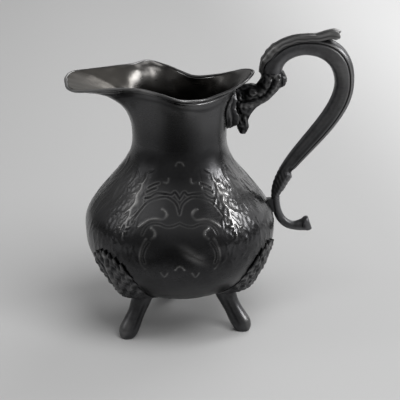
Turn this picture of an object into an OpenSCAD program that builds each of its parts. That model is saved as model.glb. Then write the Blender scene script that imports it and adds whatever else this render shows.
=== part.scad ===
// Footed cream jug of silvered metal: a round-bellied body with a broad pouring lip,
// a cast scroll handle and three cast feet with leaf mounts.
// Millimetres. The table is z = 0, the body's axis is Z, and the handle points along +X.

/* [Body] */
// Largest outside radius of the belly
belly_r = 47.6; // [44:0.2:52]
// Height of the belly's widest ring above the table
belly_z = 55; // [52:0.5:58]
// Height of the bowl's lowest point above the table
bowl_z = 17; // [15:0.5:19]
// Fullness of the lower bowl: 2 is an ellipse, more is squarer
bowl_fullness = 2.2; // [1.8:0.1:2.6]
// Outside radius of the neck at its narrowest ring
neck_r = 23.4; // [21:0.2:26]
// Height of the neck's narrowest ring
neck_z = 99; // [96:0.5:102]
// How early the shoulder draws in: 1 is even, less is earlier
shoulder_ease = 0.92; // [0.84:0.02:1.04]
// Thickness of the sheet metal
wall = 1.2; // [0.8:0.1:2]
// Solder seam left between neighbouring pieces
seam = 0.1; // [0.05:0.05:0.2]

/* [Mouth] */
// Distance of the spout's tip from the body's axis
spout_reach = 54.8; // [50:0.2:60]
// Half the width of the spout
spout_half_w = 18; // [16:0.5:21]
// Half the width of the mouth at its widest
mouth_half_w = 28.4; // [26:0.2:31]
// Distance of the rim's handle end from the body's axis
lip_back = 36; // [34:0.5:38]
// Height of the rim at the spout's tip
rim_tip_z = 127.8; // [126:0.2:132]
// Height of the rim along the spout's sides
rim_crest_z = 130; // [128:0.5:134]
// Height of the rim at its lowest, beside the mouth
rim_dip_z = 123.2; // [121:0.2:126]
// Height of the rim at its handle end
rim_back_z = 130.7; // [128.5:0.2:133]
// How far the lip curls over towards the level at its edge, in degrees
lip_curl = 80; // [65:1:85]
// How late the neck starts to flare: 1 is early, more is later
flare_late = 1.3; // [1:0.05:1.6]
// Radius of the wire round the rim
wire_r = 0.7; // [0.5:0.1:1.2]

/* [Handle] */
// Height of the handle's centre line at its crown
crown_z = 144; // [141:0.5:148]
// Distance of the crown from the body's axis
crown_x = 62.5; // [58:0.5:66]
// Distance of the handle's centre line at its outer bow from the body's axis
bow_x = 82.4; // [76:0.5:90]
// Height of the outer bow
bow_z = 124.5; // [120:0.5:130]
// Height of the handle's lower end, where its line turns out into the tail
touch_z = 65.5; // [64:0.5:68]
// How far the tail runs out beyond the lower end
tail_run = 16.2; // [12:0.2:20]
// How far the tail drops below the lower end
tail_drop = 15.2; // [12:0.2:17]
// Width of the handle at its bow, in the plane of the loop
bow_w = 9.5; // [7:0.1:11]
// Width of the handle at its lower end
touch_w = 4.2; // [3.4:0.1:5]
// Handle thickness across the loop, as a share of its width
handle_flatness = 0.95; // [0.75:0.05:1]
// Thickness of the solder pad between the handle and the body
pad_t = 0.7; // [0.5:0.1:1.4]

/* [Handle leaves] */
// Thickness of the leaf on the handle's crown
crown_leaf_t = 1.4; // [1:0.1:2]
// How far the crown leaf's tip lifts off the handle
crown_leaf_lift = 4.4; // [2:0.2:5]
// Thickness of the palmette on the neck, along its middle
palmette_t = 5; // [4:0.2:5.6]
// Half the angle that the palmette spans round the neck
palmette_half_angle = 30; // [22:1:36]
// Width across the loop of the bracket between neck and handle
bracket_depth = 8; // [6:0.5:10]

/* [Feet] */
// Number of degrees that the first foot stands before the handle
foot_turn = 27; // [20:1:40]
// Distance of the toes' centres in from the belly's widest ring
toe_inset = 13.6; // [11:0.2:15]
// How far the leg's line runs on below the table, where the leg is cut flat
toe_sink = 0.5; // [0.2:0.1:0.9]
// Radius of the leg below its leaf
leg_r = 5.3; // [4.8:0.1:5.8]
// Radius of the leg at its thinnest
ankle_r = 4.3; // [3.8:0.1:4.8]
// Radius of the toe
toe_pad_r = 4.8; // [4.4:0.1:5.4]
// Height of each leaf mount above the leg
leaf_h = 29.5; // [26:0.5:31]
// Half the width of each leaf mount
leaf_half_w = 14.5; // [12:0.5:16]
// Thickness of each leaf mount at its top, along its middle
leaf_t = 1.3; // [1.1:0.1:2]
// How far each leaf mount stands out over its leg, as a knee
knee_t = 10.5; // [9:0.5:12]

/* [Hidden] */
$fn = 96;

// Directions of the three feet, a third of a turn apart
foot_near_handle_dir = -foot_turn;
foot_near_spout_dir = foot_near_handle_dir - 120;
foot_back_dir = foot_near_handle_dir + 120;

// Stretch of the handle's tail that the solder pad covers, and its half angle round the handle
pad_from = 3.03;
pad_to = 3.26;
pad_wrap = 50;
pad_cols = 6;
pad_rows = 6;

// Distance of the toes' centres from the body's axis
toe_r = belly_r - toe_inset;

// Steps used along curved outlines
bowl_steps = 22;
shoulder_steps = 24;
rim_steps = 3;
lip_steps = 11;
wire_sides = 8;
handle_steps = 12;
half_section_steps = 9;
bracket_steps = 3;
bracket_sides = 14;
leg_steps = 14;
leg_sides = 16;
leaf_rows = 18;
leaf_cols = 12;

// Thickness left at the edges of every cast leaf
leaf_edge_t = 0.8;
// Height of the leg's top, where the leaf mount sits on it
leg_rise = 4;
leg_top_z = bowl_z + leg_rise;
leaf_low_z = leg_top_z + seam;
leaf_top_z = leaf_low_z + leaf_h;
// Gap between the lip's edge and the wire that follows it
wire_clear = 2 * seam;
// Oversize used where a cutting solid passes through a face
over = 1;

metal = [0.24, 0.24, 0.25];
metal_dark = [0.17, 0.17, 0.18];
metal_worn = [0.36, 0.36, 0.37];

function mix(a, b, t) = a + (b - a) * t;
function unit(v) = v / norm(v);
function smooth(t) = let (c = min(1, max(0, t))) c * c * (3 - 2 * c);

// Point at t on a cubic curve with its ends at p[0] and p[3]
function cubic(p, t) = let (s = 1 - t)
    p[0] * s * s * s + p[1] * 3 * s * s * t + p[2] * 3 * s * t * t + p[3] * t * t * t;

// Point at t between stations i and i + 1 of a smooth closed line through all stations
function smooth_loop(st, i, t) = let (n = len(st), a = st[(i + n - 1) % n], b = st[i % n],
        c = st[(i + 1) % n], d = st[(i + 2) % n])
    (b * 2 + (c - a) * t + (a * 2 - b * 5 + c * 4 - d) * t * t
        + (b * 3 - a - c * 3 + d) * t * t * t) / 2;

// Point at t between stations i and i + 1 of a smooth open line through all stations
function smooth_line(st, i, t) = let (m = len(st) - 1, a = st[max(i - 1, 0)], b = st[i],
        c = st[min(i + 1, m)], d = st[min(i + 2, m)])
    (b * 2 + (c - a) * t + (a * 2 - b * 5 + c * 4 - d) * t * t
        + (b * 3 - a - c * 3 + d) * t * t * t) / 2;

// Outside radius of the body at a height, below the belly and above it
function bowl_r(z) = let (d = min(1, max(0, (belly_z - z) / (belly_z - bowl_z))))
    belly_r * sqrt(max(0, 1 - pow(d, bowl_fullness)));
function shoulder_r(z) = let (s = (z - belly_z) / (neck_z - belly_z))
    neck_r + (belly_r - neck_r) * (1 + cos(180 * pow(max(0, s), shoulder_ease))) / 2;
function body_r(z) = z < belly_z ? bowl_r(z) : shoulder_r(z);

// Half outline of the bowl, from the axis to the belly, moved out by grow
function bowl_outline(grow) = [for (i = [0 : bowl_steps]) let (t = 90 * i / bowl_steps)
    [(belly_r + grow) * sin(t),
     belly_z - (belly_z - bowl_z + grow) * pow(cos(t), 2 / bowl_fullness)]];

function shoulder_outline(grow) = [for (i = [0 : shoulder_steps])
    let (z = mix(belly_z, neck_z, i / shoulder_steps)) [shoulder_r(z) + grow, z]];

function reversed(v) = [for (i = [len(v) - 1 : -1 : 0]) v[i]];

// Solid between closed rings with an even number of points, ended by flat strips,
// or joined end to end
module loft(rings, joined = false) {
    n = len(rings);
    m = len(rings[0]);
    sides = [for (i = [0 : joined ? n - 1 : n - 2], k = [0 : m - 1])
        let (a = i * m, b = ((i + 1) % n) * m, j = (k + 1) % m)
        each [[a + k, b + j, a + j], [a + k, b + k, b + j]]];
    last = (n - 1) * m;
    ends = joined ? [] : [for (k = [0 : m / 2 - 2]) let (j = m - 1 - k)
        each [[k, k + 1, j - 1], [k, j - 1, j],
            [last + k, last + j - 1, last + k + 1], [last + k, last + j, last + j - 1]]];
    polyhedron(points = [for (r = rings) each r], faces = concat(sides, ends), convexity = 8);
}

// One side of the rim from its handle end to the spout's tip: place, half width and height
rim_half = [
    [lip_back, 0, rim_back_z],
    [lip_back * 0.91, mouth_half_w * 0.25, mix(rim_back_z, rim_dip_z, 0.17)],
    [lip_back * 0.76, mouth_half_w * 0.4, mix(rim_back_z, rim_dip_z, 0.49)],
    [lip_back * 0.54, mouth_half_w * 0.55, mix(rim_back_z, rim_dip_z, 0.84)],
    [lip_back * 0.24, mouth_half_w * 0.75, rim_dip_z],
    [-spout_reach * 0.05, mouth_half_w, mix(rim_dip_z, rim_crest_z, 0.4)],
    [-spout_reach * 0.23, mouth_half_w * 0.97, mix(rim_dip_z, rim_crest_z, 0.9)],
    [-spout_reach * 0.38, mix(mouth_half_w, spout_half_w, 0.7), mix(rim_dip_z, rim_crest_z, 0.97)],
    [-spout_reach * 0.54, spout_half_w * 1.03, rim_crest_z],
    [-spout_reach * 0.74, spout_half_w * 0.98, mix(rim_crest_z, rim_tip_z, 0.27)],
    [-spout_reach * 0.92, spout_half_w * 0.88, mix(rim_crest_z, rim_tip_z, 0.55)],
    [-spout_reach * 0.99, spout_half_w * 0.5, mix(rim_crest_z, rim_tip_z, 0.82)],
    [-spout_reach, 0, rim_tip_z]];
rim_stations = concat(rim_half,
    [for (i = [len(rim_half) - 2 : -1 : 1]) [rim_half[i][0], -rim_half[i][1], rim_half[i][2]]]);
rim = [for (i = [0 : len(rim_stations) - 1], k = [0 : rim_steps - 1])
    smooth_loop(rim_stations, i, k / rim_steps)];
rim_count = len(rim);

// Rim point at any index round the loop; index 0 is the handle end
function rim_at(j) = let (lo = floor(j), n = rim_count, a = rim[(lo + 2 * n) % n],
    b = rim[(lo + 1 + 2 * n) % n]) mix(a, b, j - lo);

// Outer face of the mouth: each line climbs from the neck's ring and curls over to the rim.
// a is the curl so far, from 0 at the neck to lip_curl at the rim.
function mouth_at(j, a) = let (p = rim_at(j), dir = unit([p[0], p[1]]) * neck_r,
        out = pow((1 - cos(a)) / (1 - cos(lip_curl)), flare_late), up = sin(a) / sin(lip_curl))
    [mix(dir[0], p[0], out), mix(dir[1], p[1], out), mix(neck_z, p[2], up)];
function climb(j, a) = unit(mouth_at(j, a + 0.5) - mouth_at(j, a - 0.5));
function outward(j, a) = a < 1 ? unit([rim_at(j)[0], rim_at(j)[1], 0])
    : unit(cross(mouth_at(j + 0.5, a) - mouth_at(j - 0.5, a), climb(j, a)));
function mouth_grown(j, a, grow) = mouth_at(j, a) + outward(j, a) * grow;

// Where the handle's root stands beyond the lip and above it
grip_out = 10;
grip_rise = 0.6;
grip = [lip_back + grip_out, rim_back_z + grip_rise];
// Where the handle comes nearest to the body, below its lower end
pad_drop = 4;
touch = [body_r(touch_z - pad_drop) + pad_t + touch_w / 2, touch_z];
tail = touch + [tail_run, -tail_drop];
crown = [crown_x, crown_z];
bow = [bow_x, bow_z];
// Shares that shape the curves: the rise, the fuller crown, the two ends of the back and the tail
quarter = 0.57;
crown_full = 0.64;
back_top = 0.364;
back_foot = 0.322;
tail_fall = 0.66;
tail_sweep = 0.28;
tail_dip = 3.8;
// The handle's centre line in four curves: rise, crown, back and tail
handle_curves = [
    [grip, [grip[0], mix(grip[1], crown_z, quarter)], [mix(crown_x, grip[0], quarter), crown_z], crown],
    [crown, [mix(crown_x, bow_x, crown_full), crown_z], [bow_x, mix(bow_z, crown_z, crown_full)], bow],
    [bow, [bow_x, mix(bow_z, touch_z, back_top)], [touch[0], mix(touch_z, bow_z, back_foot)], touch],
    [touch, [touch[0], touch_z - tail_drop * tail_fall],
        [touch[0] + tail_run * tail_sweep, tail[1] - tail_dip], tail]];
// Widths of the handle at its root, its crown, along its tail and at the tail's flared end,
// and the width that it gains between its crown and its bow
grip_w = 10.4;
crown_w = 9.4;
tail_w = 4.4;
tip_w = 6.4;
crown_swell = 1.5;
// Share of the tail after which it flares to its end
tip_from = 0.75;

// Centre line and width of the handle at s, from 0 at the bracket to 4 at the tail's end
function handle_part(s) = min(3, floor(s));
function handle_at(s) = let (i = handle_part(s)) cubic(handle_curves[i], s - i);
function handle_w(s) = let (i = handle_part(s), t = s - i)
    i == 0 ? mix(grip_w, crown_w, t) :
    i == 1 ? mix(crown_w, bow_w, t) + crown_swell * sin(180 * t) :
    i == 2 ? mix(bow_w, touch_w, t * t) :
    t < tip_from ? mix(touch_w, tail_w, t / tip_from)
        : mix(tail_w, tip_w, smooth((t - tip_from) / (1 - tip_from)));
function handle_out(s) = let (e = 0.01, lo = max(0, s - e), hi = min(4, s + e),
    d = unit(handle_at(hi) - handle_at(lo))) [-d[1], d[0]];

// Point on the handle's oval section: angle 0 is the outer edge and 180 the inner edge
function handle_skin(s, angle, grow = 0) = let (c = handle_at(s), n = handle_out(s),
        w = handle_w(s) / 2 + grow, d = handle_w(s) * handle_flatness / 2 + grow)
    [c[0] + n[0] * w * cos(angle), d * sin(angle), c[1] + n[1] * w * cos(angle)];

module handle_half(side) {
    loft([for (i = [0 : 4 * handle_steps]) let (s = i / handle_steps,
            half = [for (k = [0 : half_section_steps]) let (p = handle_skin(s, 180 * k / half_section_steps))
                [p[0], side * (p[1] + seam / 2), p[2]]])
        side < 0 ? half : reversed(half)]);
}

// Gap between the mouth's face under the palmette and the bracket, beyond the palmette itself
bracket_clear = 4 * seam;

// Point over the palmette's face, rise above the neck's ring, where the bracket's inner edge lies
function seat(rise) = let (a = asin(sin(lip_curl) * rise / (rim_back_z - neck_z)),
    p = mouth_grown(0, a, palmette_t + bracket_clear)) [p[0], p[2]];
root_w = grip_w + 1.6;
// Share of the bracket's width that is left at its hanging drop
drop_share = 0.55;
// Outer edge of the bracket below the handle's root: the curl, the neck under it and the waist,
// as steps from the root
curl = [7.5, -3.8];
curl_low = [6.6, -7.1];
curl_neck = [4.2, -8.5];
waist_top = [1.7, -11.3];
waist = [-1.8, -14.8];
// Inner edge beside the curl, round the bay behind the lip, over the hump and down behind the lip,
// as steps from the root
shoulder = [-5.4, -2.7];
bay = [-6.9, -5.3];
bay_low = [-8.4, -6.5];
hump = [-10.4, -5.9];
lip_side = [-17.2, -7.2];
lip_low = [-17.8, -10.8];
// Outer edge further down, as steps from the neck's ring below the end of the lip
bend_top = [3.4, 14.7];
bend = [0.6, 12];
throat = [-1.6, 7.8];
drop_side = [-1.3, 4];
drop_end = [[-6, 1.2], [-2.8, 0.9]];
// Rises above the neck's ring at which the inner edge lies on the palmette
seat_rises = [15.5, 9, 4.5];
under_lip = [lip_back, neck_z];
// Outline of the bracket in the handle's plane: pairs of inner and outer edge points,
// from the handle's root down the neck to the hanging drop
bracket_edges = [
    [grip + [-root_w / 2, -seam], grip + [root_w / 2, -seam]],
    [grip + shoulder, grip + curl],
    [grip + bay, grip + curl_low],
    [grip + bay_low, grip + curl_neck],
    [grip + hump, grip + waist_top],
    [grip + lip_side, grip + waist],
    [grip + lip_low, under_lip + bend_top],
    [seat(seat_rises[0]), under_lip + bend],
    [seat(seat_rises[1]), under_lip + throat],
    [seat(seat_rises[2]), under_lip + drop_side],
    [under_lip + drop_end[0], under_lip + drop_end[1]]];

function bracket_edge(side, s) = let (i = min(len(bracket_edges) - 2, floor(s)))
    smooth_line([for (e = bracket_edges) e[side]], i, s - i);

module bracket_form() {
    last = len(bracket_edges) - 1;
    loft([for (i = [0 : last * bracket_steps]) let (s = i / bracket_steps,
            a = bracket_edge(0, s), b = bracket_edge(1, s), c = (a + b) / 2, w = (b - a) / 2,
            d = bracket_depth / 2 * mix(1, drop_share, s / last))
        [for (k = [0 : bracket_sides - 1]) let (t = 360 * (k + 0.5) / bracket_sides)
            [c[0] + w[0] * cos(t), -d * sin(t), c[1] + w[1] * cos(t)]]]);
}

// Rim index at which the palmette's edge lies, found from the rim's own directions
palmette_j = max([for (j = [0 : rim_count / 4]) if (atan2(rim[j][1], rim[j][0]) <= palmette_half_angle) j]);
// Curl of the mouth between which the palmette lies, and its outline: the share of its width
// at the foot and the turn of the sine that spreads it
palmette_from = 8;
palmette_to = 40;
palmette_foot = 0.35;
palmette_turn = 160;
// Share of its height above which it thins, and the share of its thickness that is left at its top
palmette_full = 0.5;
palmette_top = 0.5;

// Thickness of the palmette at u across it, from -1 to 1, and v up it, from 0 to 1
function palmette_thick(u, v) = let (thinned = smooth((v - palmette_full) / (1 - palmette_full)))
    mix(palmette_t * mix(1, palmette_top, thinned), leaf_edge_t, u * u);

module palmette_form() {
    loft([for (c = [0 : leaf_cols]) let (u = 2 * c / leaf_cols - 1,
            edge = [for (r = [0 : leaf_rows]) let (v = r / leaf_rows,
                wide = mix(palmette_foot, 1, sin(palmette_turn * v)))
                [u * palmette_j * wide, mix(palmette_from, palmette_to, v), palmette_thick(u, v)]])
        concat(
            [for (e = edge) mouth_grown(e[0], e[1], seam)],
            reversed([for (e = edge) mouth_grown(e[0], e[1], seam + e[2])]))]);
}

// Crown leaf: a strip bent round the outer half of the handle, with a lifted, spread tip
// It runs along the handle to crown_leaf_to, free of it from crown_leaf_free on
crown_leaf_to = 1.39;
crown_leaf_free = 1.1;
// Its half angle round the handle, the share of that at its root and the run over which it spreads
crown_leaf_wrap = 52;
crown_leaf_root = 0.55;
crown_leaf_spread = 0.35;
crown_leaf_rings = 24;
crown_leaf_cols = 8;
function crown_leaf_skin(s, angle, grow) = let (n = handle_out(s), p = handle_skin(s, angle, grow),
        lift = crown_leaf_lift * smooth((s - crown_leaf_free) / (crown_leaf_to - crown_leaf_free)))
    p + [n[0], 0, n[1]] * lift;

module crown_leaf_form() {
    loft([for (i = [0 : crown_leaf_rings]) let (s = crown_leaf_to * i / crown_leaf_rings,
            wrap = crown_leaf_wrap * mix(crown_leaf_root, 1, smooth(s / crown_leaf_spread)),
            angles = [for (k = [0 : crown_leaf_cols]) mix(-wrap, wrap, k / crown_leaf_cols)])
        concat(
            [for (t = angles) crown_leaf_skin(s, t, seam)],
            reversed([for (t = angles) crown_leaf_skin(s, t,
                seam + mix(crown_leaf_t, leaf_edge_t, pow(t / wrap, 2)))]))]);
}

// Leg in its own plane, where X is the distance from the body's axis. Its line starts a little
// outside the bowl's outline, and the leg is cut back from the bowl.
leg_out = 1.4;
leg_top = [bowl_r(leg_top_z) + leg_out, leg_top_z + over];
leg_tip = [toe_r + toe_pad_r / 2, -toe_sink];
// Shares of the leg's run outwards and of its fall at the two points that shape its curve
leg_swing = [0.18, 0.5];
leg_fall = [0.27, 0.62];
leg_curve = [leg_top,
    [mix(leg_top[0], leg_tip[0], leg_swing[0]), mix(leg_top[1], leg_tip[1], leg_fall[0])],
    [mix(leg_top[0], leg_tip[0], leg_swing[1]), mix(leg_top[1], leg_tip[1], leg_fall[1])], leg_tip];
// Shares of the leg's run at which it is thinnest and at which the toe's round end starts,
// and the bluntness of that end
ankle_at = 0.5;
toe_from = 0.8;
toe_blunt = 0.97;
function leg_w(t) = t < ankle_at ? mix(leg_r, ankle_r, smooth(t / ankle_at))
    : t < toe_from ? mix(ankle_r, toe_pad_r, smooth((t - ankle_at) / (toe_from - ankle_at)))
    : toe_pad_r * sqrt(1 - pow(toe_blunt * (t - toe_from) / (1 - toe_from), 2));

module leg_form() {
    loft([for (i = [0 : leg_steps]) let (t = i / leg_steps, c = cubic(leg_curve, t), w = leg_w(t),
            d = unit(cubic(leg_curve, min(1, t + 0.01)) - cubic(leg_curve, max(0, t - 0.01))))
        [for (k = [0 : leg_sides - 1]) let (b = 360 * (k + 0.5) / leg_sides)
            [c[0] - d[1] * w * cos(b), -w * sin(b), c[1] + d[0] * w * cos(b)]]]);
}

// One foot: the leg cut flat at the table and under its leaf, and cut back from the bowl
module foot(dir) {
    big = 4 * toe_r;
    difference() {
        rotate([0, 0, dir]) leg_form();
        translate([-big / 2, -big / 2, -big]) cube(big);
        translate([-big / 2, -big / 2, leg_top_z]) cube(big);
        rotate_extrude() polygon(concat(bowl_outline(seam), [[0, belly_z]]));
    }
}

// Drop of a leaf mount's upper corners, and the share of its height over which it leans out
leaf_droop = 6.5;
leaf_level = 0.6;
// Share of a leaf mount's width at its foot, and the turn of the sine that spreads it
leaf_foot = 0.6;
leaf_turn = 140;
// Power by which a leaf mount thins from its knee to its top
knee_fall = 3.8;

// Half width of a leaf mount at v, from 0 on the leg to 1 at its top
function leaf_spread(v) = leaf_half_w * mix(leaf_foot, 1, sin(leaf_turn * v));
// Its thickness there at u, from -1 at one edge to 1 at the other
function leaf_thick(u, v) = mix(mix(leaf_t, knee_t, pow(1 - v, knee_fall)), leaf_edge_t, u * u);

// One leaf mount, bent to the bowl and thickest along its middle
module foot_leaf(dir) {
    loft([for (c = [0 : leaf_cols]) let (u = 2 * c / leaf_cols - 1,
            edge = [for (r = [0 : leaf_rows]) let (v = r / leaf_rows,
                z = mix(leaf_low_z, leaf_top_z, v) - v * v * u * u * leaf_droop,
                r0 = bowl_r(z), turn = u * leaf_spread(v) / r0 * 180 / PI)
                [r0, dir + turn, z, smooth(v / leaf_level), leaf_thick(u, v)]])
        concat(
            [for (e = edge) leaf_point(e, seam)],
            reversed([for (e = edge) leaf_point(e, seam + e[4])]))]);
}

// Point standing off the bowl by grow: level above the leg, square to the bowl higher up
function leaf_point(e, grow) = let (slope = (bowl_r(e[2] + 0.1) - bowl_r(e[2] - 0.1)) / 0.2,
        n = unit([1, -slope * e[3]]), r = e[0] + grow * n[0])
    [r * cos(e[1]), r * sin(e[1]), e[2] + grow * n[1]];

module lower_bowl() {
    color(metal) rotate_extrude()
        polygon(concat(bowl_outline(0), reversed(bowl_outline(-wall))));
}

module upper_body() {
    color(metal) rotate_extrude()
        polygon(concat(shoulder_outline(0), reversed(shoulder_outline(-wall))));
}

module mouth_and_spout() {
    color(metal) loft([for (j = [0 : rim_count - 1])
        let (curls = [for (k = [0 : lip_steps]) lip_curl * k / lip_steps])
        concat(
            [for (a = curls) mouth_grown(j, a, -wall)],
            reversed([for (a = curls) mouth_at(j, a)]))], joined = true);
}

module rim_wire() {
    color(metal_worn) loft([for (j = [0 : rim_count - 1])
        let (t = climb(j, lip_curl), n = outward(j, lip_curl),
            c = mouth_grown(j, lip_curl, -wall / 2) + t * (wire_r + wire_clear))
        [for (k = [0 : wire_sides - 1]) let (b = 360 * k / wire_sides)
            c + t * wire_r * cos(b) + n * wire_r * sin(b)]], joined = true);
}

module handle_near_half() {
    color(metal) handle_half(-1);
}

module handle_far_half() {
    color(metal) handle_half(1);
}

module crown_leaf() {
    color(metal_dark) crown_leaf_form();
}

module handle_bracket() {
    color(metal_dark) bracket_form();
}

module neck_palmette() {
    color(metal_dark) palmette_form();
}

// Solder pad between the body and the handle's inner edge
module lower_solder_pad() {
    color(metal_dark) loft([for (c = [0 : pad_cols]) let (turn = 180 - pad_wrap * (2 * c / pad_cols - 1),
            face = [for (r = [0 : pad_rows]) handle_skin(mix(pad_from, pad_to, r / pad_rows), turn, seam)])
        concat(face, reversed([for (p = face)
            [min(p[0] - seam, sqrt(pow(body_r(p[2]) + seam, 2) - p[1] * p[1])), p[1], p[2]]]))]);
}

module foot_near_spout() {
    color(metal) foot(foot_near_spout_dir);
}

module foot_near_handle() {
    color(metal) foot(foot_near_handle_dir);
}

module foot_back() {
    color(metal) foot(foot_back_dir);
}

module leaf_near_spout() {
    color(metal_dark) foot_leaf(foot_near_spout_dir);
}

module leaf_near_handle() {
    color(metal_dark) foot_leaf(foot_near_handle_dir);
}

module leaf_back() {
    color(metal_dark) foot_leaf(foot_back_dir);
}

lower_bowl();
upper_body();
mouth_and_spout();
rim_wire();
handle_near_half();
handle_far_half();
crown_leaf();
handle_bracket();
neck_palmette();
lower_solder_pad();
foot_near_spout();
foot_near_handle();
foot_back();
leaf_near_spout();
leaf_near_handle();
leaf_back();
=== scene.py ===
"""Looks of a footed cream jug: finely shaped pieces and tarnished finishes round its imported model."""
import math

import bpy
import numpy as np
from bpy.props import FloatProperty, FloatVectorProperty, PointerProperty
from mathutils import Matrix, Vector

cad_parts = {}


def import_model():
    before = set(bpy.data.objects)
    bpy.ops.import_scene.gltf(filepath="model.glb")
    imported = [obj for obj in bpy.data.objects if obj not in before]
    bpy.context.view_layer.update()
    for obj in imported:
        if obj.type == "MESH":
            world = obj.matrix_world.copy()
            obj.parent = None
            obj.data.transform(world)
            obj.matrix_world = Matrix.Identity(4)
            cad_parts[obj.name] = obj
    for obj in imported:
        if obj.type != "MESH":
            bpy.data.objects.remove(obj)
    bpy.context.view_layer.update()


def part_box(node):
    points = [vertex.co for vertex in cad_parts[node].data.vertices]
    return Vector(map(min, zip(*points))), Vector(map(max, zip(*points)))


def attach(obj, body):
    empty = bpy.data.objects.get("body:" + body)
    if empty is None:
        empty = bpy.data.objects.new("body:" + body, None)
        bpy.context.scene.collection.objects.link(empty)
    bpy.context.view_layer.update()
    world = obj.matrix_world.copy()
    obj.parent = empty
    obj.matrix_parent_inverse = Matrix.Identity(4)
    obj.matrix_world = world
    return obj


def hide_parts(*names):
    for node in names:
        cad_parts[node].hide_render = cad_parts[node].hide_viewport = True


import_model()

bl_info = {
    "name": "Footed Cream Jug",
    "version": (1, 0, 0),
    "blender": (4, 5, 0),
    "location": "View3D > Sidebar > Jug",
    "description": "Builds the chased body, scroll handle and cast feet of a tarnished cream jug",
    "category": "Add Mesh",
}

MM = 0.001
BOWL_LOW, BOWL_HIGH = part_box("lower_bowl")
NECK_RING_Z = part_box("upper_body")[1].z


def placed(name, description, metres):
    """A size in metres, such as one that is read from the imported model."""
    return FloatProperty(name=name, description=description, default=metres, unit="LENGTH", precision=5)


def length(name, description, millimetres):
    """A size that is given in millimetres."""
    return placed(name, description, millimetres * MM)


def share(name, description, value):
    """A plain number."""
    return FloatProperty(name=name, description=description, default=value, precision=4)


def turn(name, description, degrees):
    """An angle, given in degrees."""
    return FloatProperty(name=name, description=description, default=math.radians(degrees),
                         subtype="ANGLE")


def colour(name, description, value):
    """A colour in linear light."""
    return FloatVectorProperty(name=name, description=description, default=value, size=3, min=0, max=1,
                               subtype="COLOR")


class JugBody(bpy.types.PropertyGroup):
    """Sizes of the spun body and of the chasing on it."""

    belly_r: placed("Belly radius", "Largest outside radius of the belly", BOWL_HIGH.x)
    belly_z: placed("Belly height", "Height of the belly's widest ring", BOWL_HIGH.z)
    bowl_z: placed("Bowl bottom", "Height of the bowl's lowest point", BOWL_LOW.z)
    bowl_fullness: share("Bowl fullness", "2 is an ellipse and more is squarer", 2.2)
    neck_r: length("Neck radius", "Outside radius of the neck at its narrowest ring", 23.4)
    neck_z: placed("Neck height", "Height of the neck's narrowest ring", NECK_RING_Z)
    shoulder_ease: share("Shoulder ease", "1 draws in evenly and less draws in earlier", 0.92)
    wall: length("Wall", "Thickness of the sheet metal", 1.2)
    cut_depth: length("Cut depth", "Depth of the chased lines", 0.21)
    cut_width: length("Cut width", "Half width of the chased lines", 0.34)
    spray_height: length("Spray height", "Height of the sprays raised from the back", 0.6)
    dent_depth: length("Dent depth", "Depth of the soft dents of age", 0.15)
    crinkle_depth: length("Crinkle depth", "Depth of the hammered texture of the sprays", 0.05)
    panel_turn: turn("Panel direction", "Direction of the front panel's middle", -96)


class JugMouth(bpy.types.PropertyGroup):
    """Sizes of the flared neck, the helmet lip and its wire."""

    spout_reach: length("Spout reach", "Distance of the spout's tip from the axis", 54.8)
    spout_half_w: length("Spout half width", "Half the width of the spout", 18)
    mouth_half_w: length("Mouth half width", "Half the width of the mouth at its widest", 28.4)
    lip_back: length("Lip back", "Distance of the rim's handle end from the axis", 36)
    rim_tip_z: length("Tip height", "Height of the rim at the spout's tip", 127.8)
    rim_crest_z: length("Crest height", "Height of the rim along the spout's sides", 130)
    rim_dip_z: length("Dip height", "Height of the rim at its lowest", 123.2)
    rim_back_z: length("Back height", "Height of the rim at its handle end", 130.7)
    lip_curl: turn("Lip curl", "How far the lip curls over at its edge", 80)
    flare_late: share("Flare", "1 starts the flare early and more starts it late", 1.3)
    wire_r: length("Wire radius", "Radius of the wire round the rim", 0.7)
    wire_gap: length("Wire gap", "Gap between the lip's edge and its wire", 0.2)


class JugHandle(bpy.types.PropertyGroup):
    """Sizes of the scroll handle, its leaf and its bracket."""

    crown_x: length("Crown distance", "Distance of the crown from the axis", 62.5)
    crown_z: length("Crown height", "Height of the centre line at the crown", 144)
    bow_x: length("Bow distance", "Distance of the outer bow from the axis", 82.4)
    bow_z: length("Bow height", "Height of the outer bow", 124.5)
    touch_z: length("Lower end", "Height where the line turns out into the tail", 65.5)
    tail_run: length("Tail run", "How far the tail runs out", 16.2)
    tail_drop: length("Tail drop", "How far the tail drops", 15.2)
    grip_out: length("Root distance", "Distance of the root beyond the lip", 10)
    grip_rise: length("Root rise", "Height of the root above the lip", 0.6)
    pad_t: length("Pad thickness", "Thickness of the solder pad", 0.7)
    pad_drop: length("Pad drop", "How far the pad lies below the lower end", 4)
    grip_w: length("Root width", "Width at the root", 10.4)
    crown_w: length("Crown width", "Width at the crown", 9.4)
    bow_w: length("Bow width", "Width at the bow", 9.5)
    touch_w: length("Lower width", "Width at the lower end", 4.2)
    tail_w: length("Tail width", "Width along the tail", 4.4)
    tip_w: length("Tip width", "Width at the tail's flared end", 6.4)
    flatness: share("Flatness", "Thickness as a share of the width", 0.95)
    seam: length("Seam", "Gap between the two halves", 0.1)
    leaf_t: length("Leaf thickness", "Thickness of the crown leaf", 1.4)
    leaf_lift: length("Leaf lift", "How far the crown leaf's tip lifts", 4.6)
    palmette_t: length("Palmette thickness", "Thickness of the leaf on the neck", 5)
    palmette_turn: turn("Palmette span", "Half the angle of the leaf on the neck", 30)
    bracket_depth: length("Bracket width", "Width of the bracket across the loop", 8)


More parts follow.
